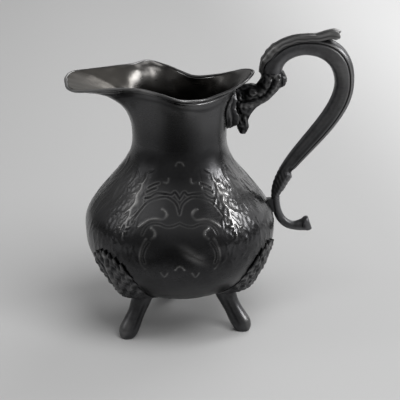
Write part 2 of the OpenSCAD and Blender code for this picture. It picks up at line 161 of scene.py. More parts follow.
class JugFeet(bpy.types.PropertyGroup):
    """Sizes of the three legs and their leaf mounts."""

    foot_turn: turn("First foot", "Direction of the first foot before the handle", 27)
    toe_inset: length("Toe inset", "Distance of the toes in from the belly's ring", 13.6)
    toe_sink: length("Toe sink", "Depth of the toe's end below the table, cut off by it", 0.5)
    leg_r: length("Leg radius", "Radius of the leg below its leaf", 5.3)
    ankle_r: length("Ankle radius", "Radius of the leg at its thinnest", 4.3)
    toe_r: length("Toe radius", "Radius of the toe", 4.8)
    leg_rise: length("Leg rise", "Height of the leg's top above the bowl's bottom", 4)
    leg_out: length("Leg stand", "Distance of the leg's top out from the bowl", 1.4)
    leaf_h: length("Leaf height", "Height of a leaf mount above its leg", 29.5)
    leaf_half_w: length("Leaf half width", "Half the width of a leaf mount", 14.5)
    leaf_t: length("Leaf thickness", "Thickness of a leaf mount at its top", 1.3)
    knee_t: length("Knee thickness", "Thickness of a leaf mount on its leg", 10.5)
    leaf_droop: length("Leaf droop", "Drop of a leaf mount's upper corners", 6.5)
    seam: length("Seam", "Solder seam under the mounts", 0.1)


class JugFinish(bpy.types.PropertyGroup):
    """Colours and gloss of the tarnished metal."""

    # The deepest tarnish is also the colour of the painted shade.
    dark: colour("Tarnish", "The deepest tarnish", (0.018, 0.018, 0.019))
    body: colour("Metal", "The tarnished face of the metal", (0.053, 0.053, 0.055))
    matted: colour("Matted metal", "The dull ground between the chased lines", (0.078, 0.078, 0.08))
    # Worn metal is also the colour of the painted highlights and sheen.
    worn: colour("Worn metal", "Edges and crests rubbed bright", (0.45, 0.445, 0.44))
    inside: colour("Inside", "The warmer metal inside the lip", (0.17, 0.161, 0.148))
    gloss: share("Roughness", "Roughness of the rubbed face", 0.25)


class JugStage(bpy.types.PropertyGroup):
    """Places of the camera, the floor and the lamps."""

    camera_out: length("Camera distance", "Level distance of the camera from the axis", 1050)
    camera_z: length("Camera height", "Height of the camera above the table", 456)
    camera_turn: turn("Camera direction", "Turn of the camera to the spout's side", -6)
    camera_pitch: turn("Camera pitch", "How far the camera looks down", 20.4)
    camera_yaw: turn("Camera yaw", "How far the camera looks past the axis to the right", 0.558)
    lens: share("Lens", "Focal length in millimetres on a 36 mm frame", 201)
    floor: colour("Floor", "Colour of the floor", (0.55, 0.55, 0.55))
    air: share("Air light", "Strength of the even light from all round", 0.2)
    key: share("Key lamp", "Power of the lamp on the handle's side, in watts", 3.2)
    window: share("Window lamp", "Power of the broad lamp behind the handle, in watts", 2.9)
    fill: share("Fill lamp", "Power of the tall lamp on the spout's side, in watts", 0.34)
    card: share("Card lamp", "Power of the broad dim lamp on the spout's side, in watts", 0.5)
    front: share("Front lamp", "Power of the broad dim lamp above the camera, in watts", 1.2)
    top: share("Top lamp", "Power of the broad dim lamp high on the spout's side, in watts", 1.2)
    low: share("Low lamp", "Power of the broad low lamp behind the handle, in watts", 1.15)
    back: share("Back lamp", "Power of the broad dim lamp behind the jug, in watts", 0.5)
    main: share("Main lamp", "Power of the lamp before the jug that lights the floor, in watts", 25)


def jug_sizes(context):
    """The settings of the body, the mouth and the handle."""
    scene = context.scene
    return scene.jug_body, scene.jug_mouth, scene.jug_handle


def blend(a, b, t):
    """The point a share t of the way from a to b."""
    return a + (b - a) * t


def ease(t):
    """A smooth step from 0 to 1 as t goes from 0 to 1: three t squared less two t cubed."""
    t = np.clip(t, 0, 1)
    return t * t * (3 - 2 * t)


def after(x, start, run):
    """A smooth step from 0 at the start to 1 a run past it."""
    return ease((x - start) / run)


def before(x, end, run):
    """A smooth step from 1 at a run short of the end to 0 at the end."""
    return ease((end - x) / run)


def bump(x, width):
    """A bell of height 1 at x = 0 that falls to 1/e at the width."""
    return np.exp(-((x / width) ** 2))


def waves(x):
    """A wave between 0 and 1 with a crest at every whole x."""
    return 0.5 + 0.5 * np.cos(2 * np.pi * x)


def wrapped(angle):
    """The same angle between minus half a turn and half a turn."""
    return np.angle(np.exp(1j * angle))


def nearest(dx, dy):
    """Distance to the nearest point of a line and that point's number, from the steps to all its points."""
    square = dx * dx + dy * dy
    return np.sqrt(square.min(-1)), square.argmin(-1)


def cubic(ends, t):
    """Points at t on the cubic curve through the first and last of four control points."""
    a, b, c, d = np.asarray(ends, float)
    t = np.asarray(t, float)[:, None]
    s = 1 - t
    return a * s**3 + 3 * b * s * s * t + 3 * c * s * t * t + d * t**3


def through(stations, per_span, closed=False):
    """A smooth line through all stations: each span is the cubic whose slope at a station is half
    the step between that station's neighbours."""
    st = np.asarray(stations, float)
    if closed:
        a, b, c, d = np.roll(st, 1, 0), st, np.roll(st, -1, 0), np.roll(st, -2, 0)
    else:
        long = np.concatenate([st[:1], st, st[-1:]])
        a, b, c, d = long[:-3], long[1:-2], long[2:-1], long[3:]
    t = (np.arange(per_span) / per_span)[None, :, None]
    a, b, c, d = a[:, None], b[:, None], c[:, None], d[:, None]
    bend = 2 * a - 5 * b + 4 * c - d
    twist = 3 * b - a - 3 * c + d
    spans = (2 * b + (c - a) * t + bend * t**2 + twist * t**3) / 2
    line = spans.reshape(-1, st.shape[1])
    return line if closed else np.concatenate([line, st[-1:]])


def slopes(grid, axis, closed):
    """Step between the neighbours of each grid point along an axis."""
    if closed:
        return np.roll(grid, -1, axis) - np.roll(grid, 1, axis)
    return np.gradient(grid, axis=axis)


def unit(vectors):
    """Vectors of length 1 with the same directions."""
    return vectors / np.maximum(np.linalg.norm(vectors, axis=-1, keepdims=True), 1e-12)


def ring_angles(count):
    """Even angles round a ring, from half a step past its start."""
    return (np.arange(count) + 0.5)[None] / count * 2 * np.pi


def two_faced(back, front):
    """Rings round a plate: each runs along its back face and returns along its front face."""
    return np.concatenate([back, front[:, ::-1]], 1)


def front_only(mark):
    """A mark for the rings of a plate, with nought on its back face."""
    return two_faced(np.zeros(mark.shape), mark)


def lumps(points, size):
    """Unevenness of a worn casting at points, from about -1 to 1: seven waves in seeded directions, with
    lengths from half to one and a half times the size, divided by about the root of seven."""
    chance = np.random.default_rng(11)
    heading = unit(chance.normal(size=(7, 3)))
    across = points @ heading.T / (size * chance.uniform(0.5, 1.5, 7))
    return np.cos(2 * np.pi * across + chance.uniform(0, 6.28, 7)).sum(-1) / 2.7


# Edges that turn by more than this are drawn sharp
SHARP_EDGE = math.radians(50)


def loft(name, rings, joined=False, **marks):
    """A closed solid between rings of points. Each ring is joined to the next by quads, and the two
    end rings are closed by strips between their two sides, or joined to each other. Each mark is a
    number for every point, kept as an attribute that the materials read."""
    n, m, _ = rings.shape
    index = np.arange(n * m).reshape(n, m)
    rows = np.vstack([index, index[:1]]) if joined else index
    right = np.roll(rows, -1, axis=1)
    faces = [np.stack([rows[:-1], right[:-1], right[1:], rows[1:]], -1).reshape(-1, 4)]
    if not joined:
        near = np.arange(m // 2 - 1)
        far = m - 1 - near
        for row, order in ((index[0], 1), (index[-1], -1)):
            faces.append(np.stack([row[near], row[far], row[far - 1], row[near + 1]], -1)[:, ::order])
    faces = np.concatenate(faces)
    points = rings.reshape(-1, 3)
    a, b, c, d = (points[faces[:, k]] for k in range(4))
    volume = np.sum(a * np.cross(b, c)) + np.sum(a * np.cross(c, d))
    if volume < 0:
        faces = faces[:, ::-1]
    mesh = bpy.data.meshes.new(name)
    mesh.vertices.add(len(points))
    mesh.vertices.foreach_set("co", points.astype(np.float32).ravel())
    mesh.loops.add(faces.size)
    mesh.loops.foreach_set("vertex_index", faces.astype(np.int32).ravel())
    mesh.polygons.add(len(faces))
    mesh.polygons.foreach_set("loop_start", np.arange(0, faces.size, 4, dtype=np.int32))
    mesh.update(calc_edges=True)
    mesh.validate()
    for mark, values in marks.items():
        attribute = mesh.attributes.new(mark, "FLOAT", "POINT")
        attribute.data.foreach_set("value", np.broadcast_to(values, (n, m)).astype(np.float32).ravel())
    mesh.shade_smooth()
    mesh.set_sharp_from_angle(angle=SHARP_EDGE)
    return mesh


def added(context, name, data):
    """A new object that holds the data, put into the scene."""
    made = bpy.data.objects.new(name, data)
    context.scene.collection.objects.link(made)
    return made


def settle(context, name, node, slot, rings, joined=False, **marks):
    """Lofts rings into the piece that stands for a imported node, in its slot's finish."""
    mesh = loft(name, rings, joined, **marks)
    mesh.materials.append(finish_of(context, slot))
    piece = added(context, name, mesh)
    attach(piece, "root")
    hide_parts(node)


class Wire:
    """A shader socket that takes part in Python expressions: each operator adds one Math node."""

    def __init__(self, tree, socket):
        self.tree = tree
        self.socket = socket

    def node(self, kind, settings, inputs, output=0):
        """Adds a node of a kind, sets its settings, fills its sockets and gives one of its outputs."""
        made = self.tree.nodes.new(kind)
        for name, value in settings.items():
            setattr(made, name, value)
        for name, value in inputs.items():
            if isinstance(value, Wire):
                value.feed(made.inputs[name])
            else:
                made.inputs[name].default_value = value
        return Wire(self.tree, made.outputs[output])

    def feed(self, socket):
        """Links this value to a node's socket."""
        self.tree.links.new(self.socket, socket)

    def maths(self, operation, a, b):
        """One Math node."""
        return self.node("ShaderNodeMath", {"operation": operation}, {0: a, 1: b})

    def __add__(self, other):
        return self.maths("ADD", self, other)

    def __sub__(self, other):
        return self.maths("SUBTRACT", self, other)

    def __rsub__(self, other):
        return self.maths("SUBTRACT", other, self)

    def __mul__(self, other):
        return self.maths("MULTIPLY", self, other)

    __radd__ = __add__
    __rmul__ = __mul__

    def clamp(self):
        """The value kept between 0 and 1."""
        return self.node("ShaderNodeClamp", {}, {"Value": self})

    def noise(self, scale, detail):
        """Cloudy noise at a scale per metre, read on this vector."""
        return self.node("ShaderNodeTexNoise", {}, {"Vector": self, "Scale": scale, "Detail": detail})

    def mark(self, attribute):
        """The value of one of the piece's own marks."""
        return self.node("ShaderNodeAttribute", {"attribute_name": attribute}, {}, output=2)

    def mixed(self, a, b):
        """Colour a share of this value from a to b."""
        settings = {"data_type": "RGBA", "clamp_factor": True}
        return self.node("ShaderNodeMix", settings, {0: self, 6: a, 7: b}, output=2)


def rgba(value):
    """A colour with full opacity."""
    return (*value, 1.0)


def fresh_material(name):
    """A new material, its shader's sockets, and the place of each point on its piece."""
    material = bpy.data.materials.new(name)
    material.use_nodes = True
    tree = material.node_tree
    place = Wire(tree, tree.nodes.new("ShaderNodeTexCoord").outputs["Object"])
    return material, tree.nodes["Principled BSDF"].inputs, place


# How much closer together the rubs lie up the jug than round it, and the height of the grain
RUB_STRETCH = (1.0, 1.0, 9.0)
GRAIN_HEIGHT = 0.12 * MM


def tarnished(name, finish, face, matt, cloud, grain):
    """Tarnished metal. Cloudy noise mixes the face with deep tarnish, the mark wear rubs it bright where it
    is worn and where highlights and sheen are painted, the mark recess fills it with tarnish in its hollows
    and with painted shade, the marks matted and inside dull it, and fine grain roughens it."""
    material, shader, place = fresh_material(name)
    clouds = place.noise(scale=70.0, detail=5.0)
    specks = place.noise(scale=620.0, detail=4.0)
    stretched = place.node("ShaderNodeMapping", {}, {"Vector": place, "Scale": RUB_STRETCH})
    rubs = stretched.noise(scale=160.0, detail=6.0)
    veil = ((clouds - 0.42) * 3.2 * cloud + (specks - 0.5) * 0.9).clamp()
    # Real wear, and painted highlights and sheen.
    rubbed = (place.mark("wear") * (0.55 + rubs * 0.9)).clamp()
    # Tarnish in hollows, and painted shade.
    deep = place.mark("recess").clamp()
    dull = place.mark("matted") * (0.5 + clouds)
    inside = place.mark("inside")
    tone = veil.mixed(rgba(face), rgba(finish.dark))
    tone = (dull * 0.8).mixed(tone, rgba(finish.matted))
    tone = inside.mixed(tone, rgba(finish.inside))
    tone = rubbed.mixed(tone, rgba(finish.worn))
    tone = (deep * 0.9).mixed(tone, rgba(finish.dark))
    tone.feed(shader["Base Color"])
    rough = matt + (clouds - 0.5) * 0.22 + (rubs - 0.5) * 0.16 + deep * 0.25
    rough = rough + inside * 0.14 + dull * 0.05
    rough.clamp().feed(shader["Roughness"])
    shader["Metallic"].default_value = 1.0
    relief = {"Height": specks * 0.6 + rubs * 0.4, "Strength": grain, "Distance": GRAIN_HEIGHT}
    place.node("ShaderNodeBump", {}, relief).feed(shader["Normal"])
    return material


# The finish of each slot: brightness of its face, added roughness, share of clouds and strength of grain
LOOKS = {
    "chased_body": (1.0, 0.0, 0.5, 0.2),
    "plain_neck": (0.72, 0.0, 0.45, 0.16),
    "worn_rim": (1.4, 0.1, 0.3, 0.2),
    "cast_handle": (2.35, 0.14, 0.45, 0.3),
    "cast_leaf": (1.4, 0.12, 0.6, 0.4),
    "cast_foot": (1.45, 0.12, 0.5, 0.3),
}


def finish_of(context, slot):
    """The material of one slot of the record, made the first time it is asked for."""
    name = slot + "_finish"
    if name not in bpy.data.materials:
        finish = context.scene.jug_finish
        brightness, duller, cloud, grain = LOOKS[slot]
        face = np.array(finish.body) * brightness
        tarnished(name, finish, face, finish.gloss + duller, cloud, grain)
    return bpy.data.materials[name]


# Chased lines of one half panel, each with its width and depth as shares of the plain cut and its points in
# degrees from the panel's middle and millimetres above the table. A depth below nought is raised instead.
# The other half is its mirror image.
STROKES = {
    "arch": (1.1, 1.05, ((0, 72.5), (2, 76), (6, 78), (12, 79), (20, 78), (26.5, 76), (31, 71.5), (33, 67))),
    "wave": (1.15, 1.35, ((0, 78.5), (4, 81), (7, 80), (13.5, 80.2), (20.5, 80), (25, 78.3), (29.5, 77.5))),
    "upper_hook": (1.9, -1.6, ((13, 74), (10, 73), (9.2, 71.5), (11.5, 70), (16.5, 70), (20.5, 69.5),
                               (23.5, 68.3), (27, 66))),
    "lower_hook": (1.8, -1.6, ((18.5, 66), (16, 64.7), (15.6, 63), (17.6, 61.5))),
    "garland": (1.0, 0.7, ((0, 68.7), (4, 67.6), (8.7, 67.2), (13.5, 68), (18.3, 67.7), (22, 66),
                           (23.7, 63))),
    "side_scroll": (1.5, -0.9, ((21, 61.3), (23, 58), (24.2, 53), (23.8, 48.8), (21.5, 46))),
    "inner_scroll": (1.0, 0.7, ((19, 59.5), (21, 56.5), (22, 52.5), (21.2, 49.5))),
    "upper_cap": (1.4, -1.2, ((0, 93.8), (2.6, 93.6), (4.6, 92.3))),
    "lower_cap": (1.4, -1.4, ((0, 48.8), (1.4, 48.4), (2.7, 46.8))),
    "chevron": (1.2, -0.8, ((7.3, 44.8), (9.6, 42.2), (11.6, 44.5))),
    "comma": (1.6, -1.0, ((11.2, 86.4), (11.1, 85.2), (12.8, 84.5), (16, 84.8))),
    "upper_flick": (1.1, 1.1, ((20.5, 84.2), (25, 83.3), (29.5, 81.8))),
    "lower_flick": (1.1, 1.0, ((22, 82.1), (26, 81.2), (30, 79.8))),
}

# The flanking spray: the raised edge of its plume in degrees and millimetres, the place where its lower
# strokes meet, the distance of the petals from it, the numbers of barbs and petals, and the degrees round
# the body that count as a millimetre
PLUME = (
    (36.8, 88), (34.8, 85.6), (36.4, 83), (36.4, 80), (38, 77.6), (35.9, 75.2), (37.8, 72.2), (36.8, 69),
    (39.8, 65),
)
PLUME_FOOT = (38, 63.8)
PETAL_START = 1.4
BARBS = 30
PETALS = 7
DEGREES_PER_MM = 1.4

# Scattered strokes of the spray, loose, faint and below it: how many, and the ranges of their degrees,
# heights in millimetres, falls in degrees, lengths and half widths in millimetres, and relief
SCATTERED = (
    (34, (36, 55), (60, 85), (-30, 110), (1.5, 4), (0.4, 0.9), (0.2, 0.6)),
    (60, (48, 86), (56, 90), (40, 110), (3.5, 9), (0.5, 1.0), (0.14, 0.42)),
    (34, (28, 66), (47, 61), (40, 130), (2, 6), (0.45, 0.8), (0.22, 0.5)),
)

# Single strokes of the spray: start and end in degrees and millimetres, half width in millimetres, relief
LONE_STROKES = (
    (32, 71.6, 41.6, 62.8, 0.9, 0.8),
    (31.6, 77.4, 27.5, 74.5, 0.7, 0.6),
    (38.9, 80.5, 36.3, 76, 0.8, 0.7),
    (34.4, 70.4, 35.2, 66.9, 0.5, 0.8),
    (32, 69.5, 31.9, 66.5, 0.5, 0.7),
    (30, 68.5, 29, 65.5, 0.5, 0.5),
    (36, 87.5, 29, 89.5, 0.7, 0.5),
    (33, 85.5, 27.5, 86, 0.6, 0.4),
)

# The oval of each spray's hammered ground, in degrees and millimetres, and the span of the whole spray
# in radians from its panel's middle
SPRAY_MIDDLE = (44, 69.5)
SPRAY_REACH = (17, 19)
SPRAY_FROM, SPRAY_TO = 0.4, 1.57

# Soft dents: degrees from the panel's middle, millimetres up, radius in millimetres and depth share
DENTS = ((-24, 58, 9, 1.6), (33, 47, 8, -1.6), (-8, 62, 10, -1.2), (-47, 60, 8, -1.4))

# The deepest knock: degrees, millimetres up, turn in degrees, half length and half width in millimetres
KNOCK = (7.2, 54.3, -34, 6.5, 2.2)
KNOCK_HEIGHT = 5.0

# Half the height in millimetres over which the bowl's outline is eased into the shoulder's
SOFTENED = 9

# Points round the body, and rows up the outer and inner faces of its two shells
COLUMNS = 640
BOWL_ROWS = (118, 24)
SHOULDER_ROWS = (132, 20)


def bowl_radius(b, z):
    """Outside radius of the bowl at a height: belly radius times the root of one less the depth's
    share raised to the fullness."""
    depth = np.clip((b.belly_z - z) / (b.belly_z - b.bowl_z), 0, 1)
    return b.belly_r * np.sqrt(np.maximum(0, 1 - depth**b.bowl_fullness))


def shoulder_radius(b, z):
    """Outside radius of the shoulder at a height: a half cosine from the belly in to the neck."""
    rise = np.clip((z - b.belly_z) / (b.neck_z - b.belly_z), 0, 1)
    return b.neck_r + (b.belly_r - b.neck_r) * (1 + np.cos(np.pi * rise**b.shoulder_ease)) / 2


def plain_radius(b, z):
    """Outside radius of the whole body at a height, with the bowl and shoulder as they are drawn."""
    return np.where(z < b.belly_z, bowl_radius(b, z), shoulder_radius(b, z))


def body_radius(b, z):
    """Outside radius of the whole body at a height: near the belly, where the two outlines meet, it is a
    mean of the drawn radius over a short height, weighted by a bell."""
    z = np.asarray(z, float)
    steps = np.linspace(-SOFTENED, SOFTENED, 19) * MM
    weight = bump(steps, SOFTENED / 2 * MM)
    soft = sum(w * plain_radius(b, z + step) for w, step in zip(weight / weight.sum(), steps))
    return blend(plain_radius(b, z), soft, bump(z - b.belly_z, SOFTENED * MM))


def arc_at(b, z):
    """Length of the body's outline from its bottom up to a height: the sum of 2000 short steps."""
    heights = np.linspace(b.bowl_z, b.neck_z, 2000)
    steps = np.hypot(np.diff(heights), np.diff(body_radius(b, heights)))
    return np.interp(z, heights, np.concatenate([[0], np.cumsum(steps)]))


def unrolled(b, places):
    """Places in degrees and millimetres, as angles and arc lengths on the body."""
    return np.stack([np.radians(places[:, 0]), arc_at(b, places[:, 1] * MM)], 1)


def panel_halves(b, angle):
    """Both halves of the two panels on opposite sides of the body: a half's side, -1 or 1, and the angle
    of every place from that panel's middle, counted towards that side."""
    for panel in (b.panel_turn, b.panel_turn + math.pi):
        off = wrapped(angle - panel)
        for side in (-1, 1):
            yield side, off * side


def panel_off(b, angle):
    """Angle of every place from the middle of the nearer panel."""
    return np.angle(np.exp(2j * (angle - b.panel_turn))) / 2


def offset(b, angle, z, degrees, height):
    """Distances round and up the body from a place in degrees and millimetres on the front panel."""
    return wrapped(angle - b.panel_turn - math.radians(degrees)) * b.belly_r, z - height * MM


def spray_strokes():
    """Every stroke of one spray as rows of start and end (degrees, millimetres), half width and relief:
    barbs that leave the plume's edge level at its top and drop steeply at its foot, short fat petals
    about its foot, the scattered strokes and the single strokes. All but the last are seeded."""
    chance = np.random.default_rng(5)

    def heading(fall):
        """A millimetre's step at falls below the level in degrees, as degrees round and millimetres up."""
        return np.stack([np.cos(np.radians(fall)) * DEGREES_PER_MM, -np.sin(np.radians(fall))], 1)

    def rows(start, fall, run, wide, high):
        """Strokes from their starts and falls, and the ranges of their lengths, half widths and relief."""
        count = len(start)
        end = start + heading(fall) * chance.uniform(*run, count)[:, None]
        return np.column_stack([start, end, chance.uniform(*wide, count), chance.uniform(*high, count)])

    edge = through(PLUME, 40)
    along = np.sort(chance.uniform(0.22, 0.97, BARBS))
    start = edge[(along * (len(edge) - 1)).astype(int)]
    fall = blend(-4, 74, ease(along * 1.05)) + chance.uniform(-22, 22, BARBS)
    strokes = [rows(start, fall, (1.8, 6.6), (0.4, 0.9), (0.35, 1.0))]
    fall = np.linspace(0, 360, PETALS, endpoint=False) + chance.uniform(-20, 20, PETALS)
    start = np.array(PLUME_FOOT) + PETAL_START * heading(fall)
    strokes.append(rows(start, fall, (1.2, 3.4), (0.6, 0.95), (0.45, 0.9)))
    for count, across, up, falls, run, wide, high in SCATTERED:
        start = np.column_stack([chance.uniform(*across, count), chance.uniform(*up, count)])
        strokes.append(rows(start, chance.uniform(*falls, count), run, wide, high))
    return np.concatenate([*strokes, LONE_STROKES])


def spray(b, angle, z, radius):
    """Relief of the sprays from 0 to 1, and a band of painted highlight beside their plumes, centred just
    outside them.
    Every stroke is a ridge with a bell profile that swells and dies away along its length. The plume's edge
    is a ridge with a long slope inside and a steep fall outside."""
    arc = arc_at(b, z)
    relief = np.zeros_like(angle)
    painted_highlight = np.zeros_like(angle)
    rows = spray_strokes()
    start, end = unrolled(b, rows[:, :2]), unrolled(b, rows[:, 2:4])
    wide, high = rows[:, 4] * MM, rows[:, 5]
    edge = unrolled(b, through(PLUME, 30))
    lowest = start[:, 1].min() - 9 * MM
    for _, x in panel_halves(b, angle):
        near = (x > SPRAY_FROM) & (x < SPRAY_TO) & (arc > lowest)
        if not near.any():
            continue
        scale = radius[near][:, None]
        px, py = x[near][:, None], arc[near][:, None]
        dx, dy = (end[:, 0] - start[:, 0]) * scale, end[:, 1] - start[:, 1]
        ax, ay = (px - start[:, 0]) * scale, py - start[:, 1]
        t = np.clip((ax * dx + ay * dy) / (dx * dx + dy * dy), 0, 1)
        away = np.hypot(ax - t * dx, ay - t * dy)
        ridge = (high * np.sqrt(np.sin(np.pi * blend(0.12, 0.95, t))) * bump(away, wide)).max(1)
        ex = (px - edge[:, 0]) * scale
        apart, closest = nearest(ex, py - edge[:, 1])
        apart = apart * np.sign(np.take_along_axis(ex, closest[:, None], 1)[:, 0])
        ends = np.sin(np.pi * blend(0.01, 0.95, closest / (len(edge) - 1))) ** 0.5
        slope = 0.4 * bump(apart, 0.7 * MM) + 0.6 * bump(apart, 4.5 * MM)
        crest = ends * np.where(apart < 0, slope, bump(apart, 1.4 * MM))
        relief[near] = np.maximum(ridge, crest)
        # Painted highlight: a soft band beside the plume's edge, fading out at its top.
        painted_highlight[near] = ends * bump(apart - 2 * MM, 3 * MM) * before(z[near], 88 * MM, 9 * MM)
    return relief, painted_highlight


def crinkle(b, angle, z):
    """Close hammered texture of the sprays: nine waves in seeded directions, two to four millimetres
    long, under a soft oval round the middle of each spray."""
    chance = np.random.default_rng(7)
    headings = chance.uniform(0, np.pi, 9)
    lengths = chance.uniform(2.0, 4.2, 9)
    starts = chance.uniform(0, 6.28, 9)
    texture = np.zeros_like(angle)
    for heading, long, start in zip(headings, lengths, starts):
        across = angle * b.belly_r * math.cos(heading) + z * math.sin(heading)
        texture = texture + np.cos(2 * np.pi * across / (long * MM) + start)
    x = (np.abs(np.degrees(panel_off(b, angle))) - SPRAY_MIDDLE[0]) / SPRAY_REACH[0]
    y = (z / MM - SPRAY_MIDDLE[1]) / SPRAY_REACH[1]
    return texture / 3 * before(np.hypot(x, y), 1.1, 0.4)


def ground(b, angle, z):
    """Share of dull ground on the body: 1 over most of the belt that the two panels lie on, less between
    them and at its soft edges, and about a third up to the neck."""
    off = np.abs(np.degrees(panel_off(b, angle)))
    belt = before(off, 100, 30) * after(z / MM, 60, 7) * before(z / MM, 89, 8)
    return np.maximum(belt, 0.35 * after(z / MM, 82, 10))


def knock(b, angle, z):
    """A long bump knocked out from inside, from 0 to 1: the product of two bells along and across it."""
    degrees, height, heading, long, wide = KNOCK
    x, y = offset(b, angle, z, degrees, height)
    c, s = math.cos(math.radians(heading)), math.sin(math.radians(heading))
    return bump(x * c + y * s, long * MM) * bump(y * c - x * s, wide * MM)


def dents(b, angle, z):
    """Soft unevenness of old sheet, in shares of the dent depth: crossed waves round and up the body,
    a few bell-shaped dents and one long knock."""
    level = np.sin(7 * angle + 150 * z) * np.sin(190 * z - 3 * angle + 1)
    level = level + 0.6 * np.sin(12 * angle - 260 * z)
    for degrees, height, size, depth in DENTS:
        x, y = offset(b, angle, z, degrees, height)
        level = level - depth * bump(np.hypot(x, y), size * MM)
    return level + KNOCK_HEIGHT * knock(b, angle, z)


def chasing(b, angle, z, radius):
    """Grooves, their burrs and raised strokes on the body, each from 0 up: every line has a bell profile,
    whose depth waves a little along it, and a groove throws up a lower burr on both its sides. The panel
    is cut twice, on opposite sides of the body."""
    arc = arc_at(b, z)
    cut, burr, raised = (np.zeros_like(angle) for _ in range(3))
    lines = [(wide, deep, unrolled(b, through(points, 14))) for wide, deep, points in STROKES.values()]
    for side, x in panel_halves(b, angle):
        for wide, deep, line in lines:
            width = b.cut_width * wide
            margin = 4 * width
            low, high = line.min(0), line.max(0)
            near = ((x > low[0] - margin / radius) & (x < high[0] + margin / radius)
                    & (arc > low[1] - margin) & (arc < high[1] + margin))
            if not near.any():
                continue
            across = (x[near][:, None] - line[:, 0]) * radius[near][:, None]
            away, closest = nearest(across, arc[near][:, None] - line[:, 1])
            step = closest + 40 * side + 25 * wide
            uneven = abs(deep) * (0.66 + 0.44 * np.cos(0.13 * step) * np.cos(0.047 * step + 1))
            form = raised if deep < 0 else cut
            form[near] = np.maximum(form[near], uneven * bump(away, width))
            if deep > 0:
                burr[near] = np.maximum(burr[near], uneven * bump(away - 2 * width, width))
    return cut, burr, raised


def painted_shade(b, angle, z):
    """Share of painted shade on the body, besides the tarnish of its cut lines, in soft dark patches: low on
    the middle of each panel, round the bottom, on the panels' upper corners and over their tops."""
    front = panel_off(b, angle)
    dirt = 0.42 * bump(front, 0.35) * bump(z - 60 * MM, 9 * MM) + 0.4 * before(z, 48 * MM, 14 * MM)
    dirt = dirt + 0.6 * bump(np.abs(front) - 0.62, 0.25) * bump(z - 94 * MM, 7 * MM)
    return dirt + 0.6 * bump(front, 0.45) * bump(z - 87 * MM, 11 * MM)


def painted_flank_sheen(angle, z):
    """Share of painted sheen on the flanks of the shoulder, in soft lighter patches beside the handle and
    the spout that stand in for light from the lamps at the sides.
    """
    off = np.abs(wrapped(angle))
    flank = 0.16 * bump(off - 0.45, 0.38) + 0.09 * bump(off - 2.8, 0.4)
    return flank * bump(z - 79 * MM, 9 * MM)


def spun_rows(radius, height, angle):
    """Rings of points at each radius and height of an outline, turned through the angles."""
    around = np.stack([np.cos(angle), np.sin(angle)], -1)
    flat = radius[:, None, None] * around[None]
    up = np.broadcast_to(height[:, None, None], (len(height), len(angle), 1))
    return np.concatenate([flat, up], -1)


def panel_angles(b):
    """Directions round the body, closer together across the two chased panels than between them."""
    even = np.linspace(0, 2 * np.pi, COLUMNS, endpoint=False)
    return b.panel_turn + even - 0.2 * np.sin(2 * even)


def chased_shell(b, outer, inner):
    """Rings and marks of a spun shell from its outer and inner outlines (radius, height): the outer face
    is moved along its normal by the chased lines, the raised sprays and the dents, and the inner face is
    plain."""
    around = panel_angles(b)
    rows = spun_rows(outer[:, 0], outer[:, 1], around)
    radius = np.maximum(np.broadcast_to(outer[:, :1], rows.shape[:2]), MM)
    z = rows[..., 2]
    angle = np.broadcast_to(around, z.shape)
    cut, burr, raised = chasing(b, angle, z, radius)
    relief, painted_highlight = spray(b, angle, z, radius)
    step = np.gradient(outer, axis=0)
    out = unit(np.stack([step[:, 1], -step[:, 0]], -1))
    normal = spun_rows(out[:, 0], out[:, 1], around)
    dented = after(z, b.bowl_z, 12 * MM) * before(z, b.neck_z, 9 * MM)
    move = (0.4 * burr + raised - cut) * b.cut_depth + relief * b.spray_height
    move = move + dents(b, angle, z) * b.dent_depth * dented + crinkle(b, angle, z) * b.crinkle_depth
    back = spun_rows(inner[::-1, 0], inner[::-1, 1], around)
    lower = blend(0.45, 1, before(z, 85 * MM, 9 * MM))
    # Wear on the burrs, raised strokes and spray crests, with painted highlights on the band beside each
    # plume and on the knock, and painted sheen on the flanks.
    rubbed = 0.3 * burr + 0.36 * raised + 0.6 * lower * after(relief, 0.45, 0.5) + 0.22 * painted_highlight
    rubbed = rubbed + 0.4 * knock(b, angle, z) - cut + painted_flank_sheen(angle, z)
    marks = {
        # Tarnish in the cut lines, plus patches of painted shade.
        "recess": np.clip(0.4 * cut + painted_shade(b, angle, z) - 0.05, 0, 1),
        "wear": np.clip(rubbed, 0, 1),
        "matted": ground(b, angle, z),
    }
    plain = np.zeros(back.shape[:2])
    marks = {name: np.concatenate([values, plain]) for name, values in marks.items()}
    return np.concatenate([rows + normal * move[..., None], back]), marks


class JUG_OT_body(bpy.types.Operator):
    """Builds the chased bowl and shoulder"""

    bl_idname = "jug.body"
    bl_label = "Chased Body"

    def bowl(self, b, rows, grow):
        """Outline of the bowl moved out by grow, from its bottom to the belly: radius by the sine and
        depth by a power of the cosine of one angle, eased into the shoulder near the belly."""
        t = np.linspace(math.radians(0.4), np.pi / 2, rows)
        deep = (b.belly_z - b.bowl_z + grow) * np.cos(t) ** (2 / b.bowl_fullness)
        z = b.belly_z - deep
        eased = body_radius(b, z) - plain_radius(b, z)
        return np.stack([(b.belly_r + grow) * np.sin(t) + eased, z], 1)

    def shoulder(self, b, rows, grow):
        """Outline of the shoulder moved out by grow, from the belly to the neck."""
        z = np.linspace(b.belly_z, b.neck_z, rows)
        return np.stack([body_radius(b, z) + grow, z], 1)

    def execute(self, context):
        b = context.scene.jug_body
        for name, node, outline, (outer, inner), joined in (
                ("lower_bowl_chased", "lower_bowl", self.bowl, BOWL_ROWS, False),
                ("upper_body_chased", "upper_body", self.shoulder, SHOULDER_ROWS, True)):
            rings, marks = chased_shell(b, outline(b, outer, 0), outline(b, inner, -b.wall))
            settle(context, name, node, "chased_body", rings, joined, **marks)
        return {"FINISHED"}


